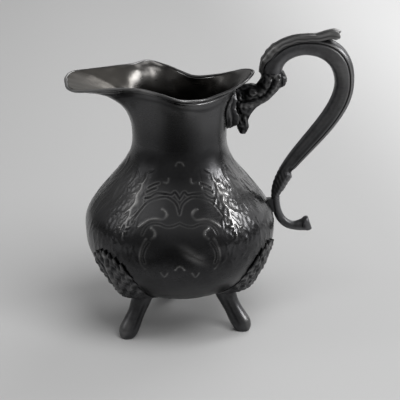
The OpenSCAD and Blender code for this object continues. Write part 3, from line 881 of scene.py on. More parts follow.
# Points of the mouth on each span of its rim and up its face
RIM_PER_SPAN = 16
MOUTH_ROWS = 46

# Lines round the mouth, as shares of the way up to its rim, and the place of a painted highlight inside its
# lip
BEAD_AT = 0.9
SCORE_AT = 0.7
PAINTED_HIGHLIGHT_PLACE = np.array([-20, 17, 126.5]) * MM


def rim_line(s, per_span):
    """The rim as a closed smooth line through stations given for one side: place along the jug, half
    width and height, each a share of the mouth's own sizes."""
    dip, crest, back, tip = s.rim_dip_z, s.rim_crest_z, s.rim_back_z, s.rim_tip_z
    half = [
        (s.lip_back, 0, back),
        (s.lip_back * 0.91, s.mouth_half_w * 0.25, blend(back, dip, 0.17)),
        (s.lip_back * 0.76, s.mouth_half_w * 0.4, blend(back, dip, 0.49)),
        (s.lip_back * 0.54, s.mouth_half_w * 0.55, blend(back, dip, 0.84)),
        (s.lip_back * 0.24, s.mouth_half_w * 0.75, dip),
        (-s.spout_reach * 0.05, s.mouth_half_w, blend(dip, crest, 0.4)),
        (-s.spout_reach * 0.23, s.mouth_half_w * 0.97, blend(dip, crest, 0.9)),
        (-s.spout_reach * 0.38, blend(s.mouth_half_w, s.spout_half_w, 0.7), blend(dip, crest, 0.97)),
        (-s.spout_reach * 0.54, s.spout_half_w * 1.03, crest),
        (-s.spout_reach * 0.74, s.spout_half_w * 0.98, blend(crest, tip, 0.27)),
        (-s.spout_reach * 0.92, s.spout_half_w * 0.88, blend(crest, tip, 0.55)),
        (-s.spout_reach * 0.99, s.spout_half_w * 0.5, blend(crest, tip, 0.82)),
        (-s.spout_reach, 0, tip),
    ]
    other = [(x, -y, z) for x, y, z in half[-2:0:-1]]
    return through(half + other, per_span, closed=True)


def mouth_face(b, s, rim, curl):
    """Outer face of the mouth at rim points and curls: every line climbs from the neck's ring by the sine
    of the curl and leans out to its rim point by a power of one less the cosine of the curl."""
    out = ((1 - np.cos(curl)) / (1 - math.cos(s.lip_curl))) ** s.flare_late
    up = np.sin(curl) / math.sin(s.lip_curl)
    flat = blend(unit(rim[..., :2]) * b.neck_r, rim[..., :2], out[..., None])
    return np.concatenate([flat, blend(b.neck_z, rim[..., 2], up)[..., None]], -1)


def face_normals(grid):
    """Outward normals of the mouth's face: its steps round the rim crossed with its steps up the curl."""
    return unit(np.cross(slopes(grid, 1, True), slopes(grid, 0, False)))


class JUG_OT_mouth(bpy.types.Operator):
    """Builds the flared neck with its helmet lip"""

    bl_idname = "jug.mouth"
    bl_label = "Mouth and Spout"

    def execute(self, context):
        """The mouth's face and the same face moved in by the wall. The outer one has a bead and a scored
        line round it and is a little uneven, and the inner one is lumpier towards its lip."""
        b, s, _ = jug_sizes(context)
        climb = np.linspace(0, 1, MOUTH_ROWS)[:, None]
        outer = mouth_face(b, s, rim_line(s, RIM_PER_SPAN), s.lip_curl * climb)
        normal = face_normals(outer)
        normal[0, :, 2] = 0
        normal[0] = unit(normal[0])
        bead = bump(climb - BEAD_AT, 0.025)
        scored = bump(climb - SCORE_AT, 0.035)
        inner = (outer - normal * b.wall)[::-1]
        inner = inner + normal[::-1] * (lumps(inner, 8 * MM) * climb[::-1] * 0.11 * MM)[..., None]
        uneven = lumps(outer, 13 * MM) * 0.08 * MM * after(climb, 0, 0.2)
        outer = outer + normal * ((0.25 * bead - 0.15 * scored) * MM + uneven)[..., None]
        plain = np.zeros(outer.shape[:2])
        spout = after(-inner[..., 0] / s.spout_reach, 0.1, 0.5) * after(climb[::-1], 0.35, 0.4)
        beak = after(-outer[..., 0] / s.spout_reach, 0.15, 0.35)
        bright = np.linalg.norm(inner - PAINTED_HIGHLIGHT_PLACE, axis=-1)
        off = wrapped(np.arctan2(outer[..., 1], outer[..., 0]) - b.panel_turn)
        rubbed = 0.09 * bump(off, 0.5) * bump(climb - 0.62, 0.3) + 0.4 * beak * after(climb, 0.86, 0.1)
        marks = {
            # On the inner face the mark is a painted highlight round that place inside the lip.
            "wear": (0.18 * bead + rubbed, 0.1 * bump(bright, 6 * MM)),
            "inside": (plain, np.maximum(spout, 0.32)),
            "matted": (blend(0.35, 1.0, after(climb, 0.05, 0.4)) + plain, plain),
            "recess": (0.6 * scored * bump(off, 1.1), plain),
        }
        marks = {name: np.concatenate(faces) for name, faces in marks.items()}
        rings = np.concatenate([outer, inner])
        settle(context, "mouth_and_spout_raised", "mouth_and_spout", "plain_neck", rings, True, **marks)
        return {"FINISHED"}


class JUG_OT_rim(bpy.types.Operator):
    """Builds the wire round the rim"""

    bl_idname = "jug.rim"
    bl_label = "Rim Wire"

    def execute(self, context):
        """A round section carried along the rim, a gap past the middle of the lip's edge."""
        b, s, _ = jug_sizes(context)
        curl = s.lip_curl * np.array([[0.98], [0.99], [1.0]])
        grid = mouth_face(b, s, rim_line(s, RIM_PER_SPAN), curl)
        normal = face_normals(grid)[-1]
        climb = unit(grid[-1] - grid[-2])
        centre = grid[-1] - normal * b.wall / 2 + climb * (s.wire_r + s.wire_gap)
        t = np.linspace(0, 2 * np.pi, 14, endpoint=False)[None, :, None]
        rings = centre[:, None] + s.wire_r * (climb[:, None] * np.cos(t) + normal[:, None] * np.sin(t))
        wear = 0.14 + 0.3 * after(-rings[..., 0] / s.spout_reach, 0.1, 0.3)
        settle(context, "rim_wire_drawn", "rim_wire", "worn_rim", rings, True, wear=wear)
        return {"FINISHED"}


# How full the handle's four curves are, as shares of their spans, and how they swell, dip and flare
QUARTER = 0.57
CROWN_FULL = 0.64
CROWN_SWELL = 1.5 * MM
BACK_TOP = 0.364
BACK_FOOT = 0.322
TAIL_FALL = 0.66
TAIL_SWEEP = 0.28
TAIL_DIP = 3.8 * MM
TIP_FROM = 0.75

# A short step along a curve, from which its direction is worked out
CURVE_STEP = 0.004


def handle_root(s, h):
    """Where the handle's centre line starts, behind the lip."""
    return np.array([s.lip_back + h.grip_out, s.rim_back_z + h.grip_rise])


def handle_line(b, s, h, at):
    """Centre line, outward direction and width of the handle at places from 0 at the root to 4 at the
    tail's end, in the plane of the loop: four cubic curves for rise, crown, back and tail."""
    grip = handle_root(s, h)
    crown = np.array([h.crown_x, h.crown_z])
    bow = np.array([h.bow_x, h.bow_z])
    near = float(body_radius(b, np.array(h.touch_z - h.pad_drop)))
    touch = np.array([near + h.pad_t + h.touch_w / 2, h.touch_z])
    tail = touch + [h.tail_run, -h.tail_drop]
    curves = [
        [grip, (grip[0], blend(grip[1], h.crown_z, QUARTER)),
         (blend(h.crown_x, grip[0], QUARTER), h.crown_z), crown],
        [crown, (blend(h.crown_x, h.bow_x, CROWN_FULL), h.crown_z),
         (h.bow_x, blend(h.bow_z, h.crown_z, CROWN_FULL)), bow],
        [bow, (h.bow_x, blend(h.bow_z, h.touch_z, BACK_TOP)),
         (touch[0], blend(h.touch_z, h.bow_z, BACK_FOOT)), touch],
        [touch, (touch[0], h.touch_z - h.tail_drop * TAIL_FALL),
         (touch[0] + h.tail_run * TAIL_SWEEP, tail[1] - TAIL_DIP), tail],
    ]
    at = np.asarray(at, float)
    part = np.clip(np.floor(at), 0, 3)

    def line(places):
        """Points of the four curves, each taken where its part runs."""
        return sum(cubic(curves[k], places - k) * (part == k)[:, None] for k in range(4))

    ahead = unit(line(np.minimum(at + CURVE_STEP, part + 1)) - line(np.maximum(at - CURVE_STEP, part)))
    t = at - part
    flared = blend(h.tail_w, h.tip_w, after(t, TIP_FROM, 1 - TIP_FROM))
    tail_width = np.where(t < TIP_FROM, blend(h.touch_w, h.tail_w, t / TIP_FROM), flared)
    swell = CROWN_SWELL * np.sin(np.pi * t)
    widths = [blend(h.grip_w, h.crown_w, t), blend(h.crown_w, h.bow_w, t) + swell,
              blend(h.bow_w, h.touch_w, t * t), tail_width]
    width = sum(w * (part == k) for k, w in enumerate(widths))
    return line(at), np.stack([-ahead[:, 1], ahead[:, 0]], 1), width


def handle_skin(b, s, h, at, angle, grow):
    """Points on the handle's oval section, moved out by grow, for every place and angle. Angle 0 is at its
    outer edge."""
    centre, out, width = handle_line(b, s, h, at)
    w = (width / 2)[:, None] + grow
    d = (width * h.flatness / 2)[:, None] + grow
    flat = centre[:, None] + out[:, None] * (w * np.cos(angle))[..., None]
    return np.stack([flat[..., 0], d * np.sin(angle) + 0 * flat[..., 0], flat[..., 1]], -1)


# Stretches of the handle with the rows on each, closest together over the lower leaf
HANDLE_ROWS = ((0, 2.7, 170), (2.705, 3.05, 70), (3.06, 4, 80))

# Where the groove beside the handle's outer bead lies, as a share of half the width, the stretch of the
# handle that the lower leaf sheathes, its scales for each of the handle's curves, and where the tail's
# end begins
GROOVE_AT = 0.47
SHEATH_FROM, SHEATH_TO = 2.745, 3.0
SCALES = 26
END_FROM = 3.9


class JUG_OT_handle(bpy.types.Operator):
    """Builds the two cast halves of the scroll handle"""

    bl_idname = "jug.handle"
    bl_label = "Scroll Handle"

    def execute(self, context):
        """Half an oval carried along the handle's line, squarer down its back, with a groove beside its
        outer bead, a scaly leaf that sheathes its lower end and two lobes with knobs on its tail."""
        b, s, h = jug_sizes(context)
        at = np.concatenate([np.linspace(*stretch) for stretch in HANDLE_ROWS])
        place = at[:, None]
        centre, out, width = handle_line(b, s, h, at)
        half_w = (width / 2)[:, None]
        a = np.linspace(0, np.pi, 62)[None]
        square = blend(1, 0.7, after(place, 1.15, 0.4) * before(place, 2.95, 0.4))
        x = np.sign(np.cos(a)) * np.abs(np.cos(a)) ** square
        grooved = after(place, 0.2, 0.3) * before(place, 2.9, 0.3)
        groove = bump(x - GROOVE_AT, 0.075) * grooved
        y = np.sin(a) ** square - 0.11 * groove
        scales = np.cos(2 * np.pi * (place * SCALES - 1.2 * x))
        scales = scales * after(place, SHEATH_FROM, 0.06) * before(place, 3.2, 0.15)
        sheath = after(place, SHEATH_FROM, 0.035) * before(place, SHEATH_TO, 0.11)
        shrink = bump(place - SHEATH_FROM + 0.012, 0.022)
        outward = after(x, -0.35, 0.7)
        end = after(place, END_FROM, 0.1)
        knobs = 0.7 * bump(place - 3.97, 0.03)
        grow = ((1.5 * sheath - 0.5 * shrink) * outward + 0.1 * scales + knobs) * MM
        flat = centre[:, None] + out[:, None] * (x * (half_w + grow))[..., None]
        ahead = np.stack([out[:, 1], -out[:, 0]], 1)
        lobes = end * (np.abs(x) ** 1.3 - 0.5) * 3.4 * MM
        flat = flat + ahead[:, None] * lobes[..., None]
        depth = y * (half_w * h.flatness + 0.7 * grow) * (1 + 0.1 * end * (np.abs(x) - 0.4))
        streak = 0.75 * bump(x - 0.05, 0.25) * after(place, 2.05, 0.35) * before(place, 2.8, 0.2)
        shade = groove + streak - 0.3 * scales + 0.8 * shrink * outward + 0.9 * end * bump(x, 0.3)
        recess = np.clip(shade, 0, 1)
        handled = 0.25 * bump(place - 1.7, 0.6) * before(np.abs(x), 0.9, 0.3)
        wear = handled + 0.2 * bump(x - 0.62, 0.07) * grooved + 0.2 * sheath * bump(x - 0.85, 0.2)
        for half, side in (("near", -1), ("far", 1)):
            rings = np.stack([flat[..., 0], side * (depth + h.seam / 2), flat[..., 1]], -1)
            settle(context, "handle_" + half + "_cast", "handle_" + half + "_half", "cast_handle", rings,
                   recess=recess, wear=wear)
        return {"FINISHED"}


# Where the crown leaf ends and where its tip begins to lift, as places on the handle, half the angle that
# it wraps, the places of its beads, and its thickness at its edges
LEAF_END = 1.36
LEAF_TIP = 1.1
LEAF_WRAP = math.radians(54)
LEAF_BEADS = (0.2, 0.34, 0.47)
LEAF_EDGE = 0.75 * MM


class JUG_OT_crown_leaf(bpy.types.Operator):
    """Builds the leaf laid over the handle's crown"""

    bl_idname = "jug.crown_leaf"
    bl_label = "Crown Leaf"

    def execute(self, context):
        """A patch of the handle's skin with scalloped sides, thick along its middle, with veins along it,
        beads near its root and a lobed tip that lifts off."""
        b, s, h = jug_sizes(context)
        at = np.linspace(0, LEAF_END, 150)
        x = np.linspace(-1, 1, 45)[None]
        place = at[:, None]
        tip = after(place, LEAF_TIP, LEAF_END - LEAF_TIP)
        scallop = 1 + 0.03 * np.sin(2 * np.pi * 6 * place / LEAF_END) * (1 - tip)
        wrap = LEAF_WRAP * blend(0.55, 1.0, after(place, 0, 0.35)) * scallop * (1 + 0.22 * tip)
        lift = h.leaf_lift * tip
        veins = waves(2 * x) * after(place, 0, 0.2)
        beads = sum(bump(place - k, 0.05) for k in LEAF_BEADS) * bump(np.abs(x) - 0.62, 0.3)
        thick = blend(h.leaf_t, LEAF_EDGE, x * x) + (0.2 * veins + 0.6 * beads - 0.15) * MM
        _, out, _ = handle_line(b, s, h, at)
        ahead = np.stack([out[:, 1], 0 * at, -out[:, 0]], 1)
        away = np.stack([out[:, 0], 0 * at, out[:, 1]], 1)
        lobes = 0.8 * MM * after(place, 1.26, 0.1) * np.cos(2 * np.pi * x / 0.72)

        def face(grow):
            """One face of the leaf, at a distance from the handle."""
            skin = handle_skin(b, s, h, at, x * wrap, grow)
            return skin + away[:, None] * lift[..., None] + ahead[:, None] * lobes[..., None]

        recess = np.clip(0.7 - 2.2 * veins, 0, 1) * after(place, 0, 0.2) * (1 - np.clip(beads, 0, 1))
        wear = np.clip(0.3 + 0.05 * after(veins, 0.6, 0.4) + 0.12 * tip + 0.3 * beads, 0, 1)
        rings = two_faced(face(h.seam), face(h.seam + thick))
        settle(context, "crown_leaf_cast", "crown_leaf", "cast_leaf", rings,
               recess=front_only(recess), wear=front_only(wear))
        return {"FINISHED"}


# Curl of the mouth's face at the foot and the top of the leaf on the neck, in degrees, and the ribs of
# that leaf and of the leaf mounts for half their width
PALMETTE_FROM, PALMETTE_TO = 8.0, 50.0
HALF_RIBS = 3.5


def palmette_full(h, v):
    """Thickness of the leaf on the neck along its middle, at v from its foot to its top: full up to 0.34 of
    its height, and thinned to about a fifth near its top."""
    return h.palmette_t * blend(1.0, 0.22, after(v, 0.34, 0.38))


def seat(b, s, h, rise, gap):
    """Point in the handle's plane, a rise above the neck's ring, with a gap to the leaf on the neck or to
    the neck above it."""
    curl = math.asin(math.sin(s.lip_curl) * rise / (s.rim_back_z - b.neck_z))
    grid = mouth_face(b, s, rim_line(s, 2), np.array([[curl - 0.01], [curl], [curl + 0.01]]))
    v = (math.degrees(curl) - PALMETTE_FROM) / (PALMETTE_TO - PALMETTE_FROM)
    over = palmette_full(h, v) if v < 1 else 0.0
    point = grid[1, 0] + face_normals(grid)[1, 0] * (over + gap)
    return point[0], point[2]


# Edges of the bracket beside the handle's root, on the lip and above the neck's ring, in millimetres
INNER_ROOT = ((-6, -0.1), (-5.4, -2.7), (-6.9, -5.3), (-8.4, -6.5), (-10.4, -5.9))
OUTER_ROOT = ((6, -0.1), (7.5, -3.8), (6.6, -7.1), (4.2, -8.5), (1.7, -11.3), (-1.8, -14.8))
INNER_SEAT = ((25.2, 0.35), (20.9, 1.5), (15.5, 0.3), (9, 0.3), (4.5, 0.3))
INNER_LAST = ((-6, 1.2),)
OUTER_LOW = ((3.4, 14.7), (0.6, 12), (-1.6, 7.8), (-1.3, 4), (-2.8, 0.9))

# Marks on the bracket's sides, in millimetres from the axis and above the table: the volute and its
# radius, hollows with theirs, a groove, lines on the curl, and the drop's top, foot and waist with the
# pitch of its flutes and a place on one of them
VOLUTE = (35.9, 121.8)
VOLUTE_R = 2.1
HOLLOWS = ((31.8, 121.2, 2.0), (32.0, 118.8, 1.2), (39.6, 124.2, 2.2))
SCROLL_GROOVE = ((46.5, 127.5), (44.6, 123.4), (41.4, 119.3), (35.6, 117.6), (30.2, 116.7))
CURL_LINES = ((50.6, 127.0), (53.4, 126.0))
DROP_TOP, DROP_FOOT, DROP_WAIST = 112, 103, 102.6
FLUTE_PITCH = 3.0
FLUTE_AT = (31.4, 106)

# Least half width of the bracket where its carving is deepest
BRACKET_CORE = 0.15 * MM


class JUG_OT_bracket(bpy.types.Operator):
    """Builds the leafy scroll between handle and neck"""

    bl_idname = "jug.bracket"
    bl_label = "Handle Bracket"

    def carving(self, x, z):
        """Relief in millimetres, shade and wear of the carving at places on the bracket's side: a round
        volute between hollows, a groove under them, lines on the curl and flutes on the drop."""
        volute = np.hypot(x - VOLUTE[0], (z - VOLUTE[1]) * 1.15)
        boss = np.sqrt(np.clip(1 - (volute / VOLUTE_R) ** 2, 0, 1))
        pits = sum(bump(np.hypot(x - px, z - pz), size) for px, pz, size in HOLLOWS)
        ring = bump(volute - 2.8, 0.6) + 0.5 * bump(volute - 0.9, 0.4)
        line = through(SCROLL_GROOVE, 20)
        away, _ = nearest(x[..., None] - line[:, 0], z[..., None] - line[:, 1])
        groove = bump(away, 0.55)
        band = bump(away - 2.4, 1.4)
        curl = sum(bump(x - px, 0.45) * bump(z - pz, 3.5) for px, pz in CURL_LINES)
        drop = before(z, DROP_TOP, 3) * after(z, DROP_FOOT, 2)
        flutes = drop * waves((x + 0.2 * (z - FLUTE_AT[1]) - FLUTE_AT[0]) / FLUTE_PITCH)
        waist = bump(z - DROP_WAIST, 0.8)
        relief = 0.6 * boss - 2.2 * pits - 0.5 * ring - 1.0 * groove + 0.6 * band
        relief = relief - 0.7 * curl - 0.7 * flutes - 0.5 * waist
        shade = 1.2 * pits + 0.7 * ring + 0.9 * groove + 0.9 * curl + 0.8 * flutes + 0.6 * waist
        light = 0.1 * boss + 0.25 * band + 0.15 * drop * (1 - flutes)
        return relief, np.clip(shade, 0, 1), np.clip(light, 0, 1)

    def execute(self, context):
        """Rings between the bracket's two edges: each is a blunt oval, narrower towards the drop, moved
        out on both sides by the carving and by the lumps of a casting."""
        b, s, h = jug_sizes(context)
        root = handle_root(s, h)
        low = np.array([s.lip_back, b.neck_z])

        def beside(point, steps):
            """Points at steps in millimetres from a point."""
            return [point + np.array(step) * MM for step in steps]

        seats = [seat(b, s, h, rise * MM, gap * MM) for rise, gap in INNER_SEAT]
        near = through(beside(root, INNER_ROOT) + seats + beside(low, INNER_LAST), 22)
        far = through(beside(root, OUTER_ROOT) + beside(low, OUTER_LOW), 22)
        along = np.linspace(0, 1, len(near))[:, None]
        t = ring_angles(96)
        flat = ((near + far) / 2)[:, None] + ((far - near) / 2)[:, None] * np.cos(t)[..., None]
        relief, shade, light = self.carving(flat[..., 0] / MM, flat[..., 1] / MM)
        side = np.sin(t)
        hand, thin = np.sign(side), np.abs(side)
        depth = h.bracket_depth / 2 * blend(1, 0.55, along) * hand * thin**0.7
        depth = depth + relief * MM * hand * after(thin, 0, 0.6)
        depth = np.where(side > 0, np.maximum(depth, BRACKET_CORE), np.minimum(depth, -BRACKET_CORE))
        rings = np.stack([flat[..., 0], -depth, flat[..., 1]], -1)
        rings[..., 1] -= lumps(rings, 2.4 * MM) * 0.3 * MM * hand * after(thin, 0, 0.5)
        settle(context, "handle_bracket_cast", "handle_bracket", "cast_leaf", rings,
               recess=shade, wear=light * thin)
        return {"FINISHED"}


# Rows of the leaf on the neck across and up it, and its thickness at its sides and at its least
PALMETTE_GRID = (97, 60)
PALMETTE_SIDE = 0.8 * MM
PALMETTE_LEAST = 0.35 * MM


class JUG_OT_palmette(bpy.types.Operator):
    """Builds the ribbed leaf on the neck"""

    bl_idname = "jug.palmette"
    bl_label = "Neck Palmette"

    def execute(self, context):
        """A patch of the mouth's face, spread by the sine of its height, and the same patch moved out
        along its normal: thick along its middle and on two cheeks, with seven ribs and a lobed foot."""
        b, s, h = jug_sizes(context)
        rim = rim_line(s, 24)
        heading = np.arctan2(rim[:, 1], rim[:, 0])
        edge = int(np.sum(heading[:len(rim) // 4] <= h.palmette_turn)) - 1
        u = np.linspace(-1, 1, PALMETTE_GRID[0])[:, None]
        lobes = waves(HALF_RIBS * u)
        v = blend(blend(0, 0.09, 1 - lobes), 1, np.linspace(0, 1, PALMETTE_GRID[1])[None])
        curl = np.radians(blend(PALMETTE_FROM, PALMETTE_TO, v))
        spread = blend(0.35, 1.0, np.sin(np.radians(150) * v))
        index = (u * edge * spread * 0.88) % len(rim)
        low = np.floor(index).astype(int) % len(rim)
        here = blend(rim[low], rim[(low + 1) % len(rim)], (index - np.floor(index))[..., None])
        base = mouth_face(b, s, here, curl)
        normal = unit(np.cross(slopes(base, 0, False), slopes(base, 1, False)))
        ribs = lobes * after(v, 0, 0.1)
        cheeks = bump(np.abs(u) - 0.58, 0.2) * before(v, 1.03, 0.2) * after(v, 0, 0.15)
        ridges = 2.3 * cheeks - 1.5 * (1 - ribs) * blend(1, 0.35, v)
        thick = blend(palmette_full(h, v), PALMETTE_SIDE, u * u) + ridges * MM
        thick = thick - 0.25 * MM * np.abs(lumps(base, 3 * MM))
        front = base + normal * (h.seam + np.maximum(thick, PALMETTE_LEAST))[..., None]
        recess = np.clip(1 - 2.6 * ribs, 0, 1)
        wear = 0.14 * after(ribs, 0.75, 0.25)
        settle(context, "neck_palmette_cast", "neck_palmette", "cast_leaf",
               two_faced(base + normal * h.seam, front), recess=front_only(recess), wear=front_only(wear))
        return {"FINISHED"}


# Half the angle of the handle's section that the solder pad covers, and its stretch of the handle
PAD_WRAP = math.radians(50)
PAD_FROM, PAD_TO = 3.03, 3.26


class JUG_OT_solder_pad(bpy.types.Operator):
    """Builds the solder pad between handle and belly"""

    bl_idname = "jug.solder_pad"
    bl_label = "Solder Pad"

    def execute(self, context):
        """A patch of the inner side of the handle's skin, carried in along X to the body's face."""
        b, s, h = jug_sizes(context)
        angle = math.pi - PAD_WRAP * np.linspace(-1, 1, 25)[None]
        skin = handle_skin(b, s, h, np.linspace(PAD_FROM, PAD_TO, 24), angle, h.seam)
        face = np.swapaxes(skin, 0, 1)
        body = np.sqrt((body_radius(b, face[..., 2]) + h.seam) ** 2 - face[..., 1] ** 2)
        back = np.stack([np.minimum(face[..., 0] - h.seam, body), face[..., 1], face[..., 2]], -1)
        settle(context, "lower_solder_pad_run", "lower_solder_pad", "cast_leaf", two_faced(face, back))
        return {"FINISHED"}


def settle_three(context, kind, slot, shape):
    """Settles the three copies of a leg or a leaf mount, each turned to its foot's direction about the
    body's axis, a third of a turn apart."""
    rings, recess, wear = shape
    first = -context.scene.jug_feet.foot_turn
    third = 2 * math.pi / 3
    x, y, z = rings[..., 0], rings[..., 1], rings[..., 2]
    for place, angle in (("near_handle", first), ("near_spout", first - third), ("back", first + third)):
        c, s = math.cos(angle), math.sin(angle)
        node = kind + "_" + place
        settle(context, node + "_cast", node, slot, np.stack([x * c - y * s, x * s + y * c, z], -1),
               recess=recess, wear=wear)


# Where the leg is thinnest and where its toe begins, as shares of its length, how far its rounded end is
# carried, and the two middle controls of its curve as shares of its reach and height
ANKLE_AT = 0.5
TOE_FROM = 0.8
TOE_BLUNT = 0.97
LEG_BENDS = ((0.18, 0.27), (0.5, 0.62))


class JUG_OT_feet(bpy.types.Operator):
    """Builds the three cast legs"""

    bl_idname = "jug.feet"
    bl_label = "Feet"

    def leg(self, b, f):
        """One leg in its own plane: a round section along a cubic curve, thinnest at the ankle and round
        at the toe, creased on both sides, pushed out of the bowl and cut flat by the table and by the
        leaf mount."""
        top_z = b.bowl_z + f.leg_rise
        top = np.array([float(bowl_radius(b, np.array(top_z))) + f.leg_out, top_z + MM])
        tip = np.array([b.belly_r - f.toe_inset + f.toe_r / 2, -f.toe_sink])
        curve = (top, *(blend(top, tip, np.array(bend)) for bend in LEG_BENDS), tip)
        toe = blend(TOE_FROM, 1, np.sin(np.linspace(0.05, np.pi / 2, 28)))
        t = np.concatenate([np.linspace(0, TOE_FROM, 64), toe])
        along = t[:, None]
        centre = cubic(curve, t)
        ahead = cubic(curve, np.minimum(t + CURVE_STEP, 1)) - cubic(curve, np.maximum(t - CURVE_STEP, 0))
        ahead = unit(ahead)
        ankle = blend(f.leg_r, f.ankle_r, ease(t / ANKLE_AT))
        swell = blend(f.ankle_r, f.toe_r, after(t, ANKLE_AT, TOE_FROM - ANKLE_AT))
        tip_r = f.toe_r * np.sqrt(1 - np.clip(TOE_BLUNT * (t - TOE_FROM) / (1 - TOE_FROM), 0, 1) ** 2)
        radius = np.where(t < ANKLE_AT, ankle, np.where(t < TOE_FROM, swell, tip_r))[:, None]
        a = ring_angles(60)
        crease = bump(np.cos(a) - 0.2, 0.16) * after(along, 0.1, 0.3) * before(along, 0.9, 0.2)
        radius = radius - 0.45 * MM * crease
        x = centre[:, :1] - ahead[:, 1:] * radius * np.cos(a)
        y = radius * np.sin(a)
        z = np.clip(centre[:, 1:] + ahead[:, :1] * radius * np.cos(a), 0, top_z)
        clear = np.where(z > b.bowl_z, bowl_radius(b, z) + f.seam, 0)
        push = np.maximum(1, clear / np.maximum(np.hypot(x, y), MM))
        # Painted highlight along the upper outer side of the toe.
        wear = 0.2 * bump(np.cos(a) - 0.9, 0.25) * after(along, 0.6, 0.2)
        return np.stack([x * push, y * push, z], -1), 0.7 * crease, wear

    def execute(self, context):
        shape = self.leg(context.scene.jug_body, context.scene.jug_feet)
        settle_three(context, "foot", "cast_foot", shape)
        return {"FINISHED"}


# Width of a leaf mount's foot as a share of its width, the angle whose sine spreads it, the power by
# which its knee thins, its rows across and up it, and its thickness at its sides and at its least
LEAF_FOOT = 0.6
LEAF_TURN = math.radians(140)
KNEE_FALL = 3.8
LEAF_GRID = (113, 80)
LEAF_SIDE = 0.7 * MM
LEAF_LEAST = 0.4 * MM


class JUG_OT_leaf_mounts(bpy.types.Operator):
    """Builds the ribbed leaf mounts over the legs"""

    bl_idname = "jug.leaf_mounts"
    bl_label = "Leaf Mounts"

    def leaf(self, b, f):
        """One mount over the +X direction: a fan bent to the bowl, thick where it stands on the leg and
        thin at its top, with rounded ribs that run together on the leg, slanting veins, lumps of a
        casting, a scalloped top and a small roll at the tip of each rib."""
        low = b.bowl_z + f.leg_rise + f.seam
        u = np.linspace(-1, 1, LEAF_GRID[0])[:, None]
        v = np.linspace(0, 1, LEAF_GRID[1])[None]
        ribs = waves(HALF_RIBS * u)
        top = f.leaf_h * (1 - 0.07 * (1 - ribs))
        z = low + top * v - v * v * u * u * f.leaf_droop
        spread = f.leaf_half_w * blend(LEAF_FOOT, 1.0, np.sin(LEAF_TURN * v))
        spread = spread * (1 + 0.03 * np.sin(2 * np.pi * 4 * v))
        radius = bowl_radius(b, z)
        angle = u * spread / radius
        slope = (bowl_radius(b, z + 0.1 * MM) - bowl_radius(b, z - 0.1 * MM)) / (0.2 * MM)
        lean = -slope * after(v, 0, 0.6)
        size = np.hypot(1, lean)
        roll = bump(v - 0.93, 0.05) * ribs
        fan = after(v, 0.04, 0.3)
        thin_up = blend(1, 0.6, v)
        middle = bump(u, 0.09)
        beside = after(np.abs(u), 0, 0.15)
        knee = f.knee_t * blend(0.7, 1, np.sqrt(np.clip(v / 0.1, 0, 1)))
        knee = blend(f.leaf_t, knee, (1 - v) ** KNEE_FALL) * blend(1, 0.6, after(v, 0.6, 0.4))
        veins = waves(4.5 * v - 2.6 * np.abs(u))
        ridges = (0.5 * (ribs - 0.7) + 0.55 * (veins - 0.7) * beside + 0.5 * middle) * fan * thin_up
        thick = blend(knee, LEAF_SIDE, u * u) + (ridges + 0.4 * roll) * MM
        spot = np.stack([radius * np.cos(angle), radius * np.sin(angle), z], -1)
        thick = thick + 0.36 * MM * lumps(spot, 3.0 * MM) * ease((1 - u * u) / 0.3) * thin_up

        def face(grow):
            """One face of the mount, at a distance from the bowl."""
            r = radius + grow / size
            return np.stack([r * np.cos(angle), r * np.sin(angle), z + grow * lean / size], -1)

        rings = two_faced(face(f.seam), face(f.seam + np.maximum(thick, LEAF_LEAST)))
        recess = np.clip(0.75 - 2 * veins, 0, 1) * fan * beside
        wear = np.clip((0.12 * after(veins, 0.6, 0.4) + 0.2 * middle) * fan + 0.25 * roll, 0, 1)
        return rings, front_only(recess), front_only(wear)

    def execute(self, context):
        shape = self.leaf(context.scene.jug_body, context.scene.jug_feet)
        settle_three(context, "leaf", "cast_leaf", shape)
        return {"FINISHED"}


# The place that the lamps face, in metres
JUG_MIDDLE = np.array([0, 0, 0.06])

# Each lamp: its setting, distance in metres, azimuth from the handle's direction and elevation in degrees,
# width and height in metres, and the kind of ray that doesn't see it
LAMPS = (
    ("key", 0.85, -16, 28, (0.24, 0.3), "diffuse"),
    ("window", 0.95, 46, 36, (0.65, 0.5), None),
    ("fill", 0.9, 184, 32, (0.2, 0.44), None),
    ("card", 0.95, 176, 36, (1.1, 0.7), None),
    ("front", 1.6, -96, 36, (1.6, 1.7), "diffuse"),
    ("top", 1.3, -158, 68, (0.8, 1.0), "diffuse"),
    ("back", 1.3, 84, 26, (1.1, 0.6), None),
    ("main", 1.7, -63, 58, (1.2, 1.2), "glossy"),
    ("low", 1.2, 34, 9, (0.9, 0.4), "diffuse"),
)

# Radii of the floor's rings in metres, and the direction and palest tone of its painted pool of light
FLOOR_RINGS = np.array([0.001, 0.3, 0.8, 1.6, 3.0, 6.0])
POOL_OF_LIGHT_HEADING = (1.0, 0.12, 0.0)
PALEST = 0.82

# Kinds of ray that don't see the dark card, and its colour
CARD_UNSEEN = ("camera", "diffuse", "shadow", "transmission", "volume_scatter")
CARD_COLOUR = (0.1, 0.1, 0.1)


def posed(place, right, up, back):
    """The transform of an object at a place, with its own three axes along three directions."""
    return Matrix.Translation(place) @ Matrix(np.stack([right, up, back], 1)).to_4x4()


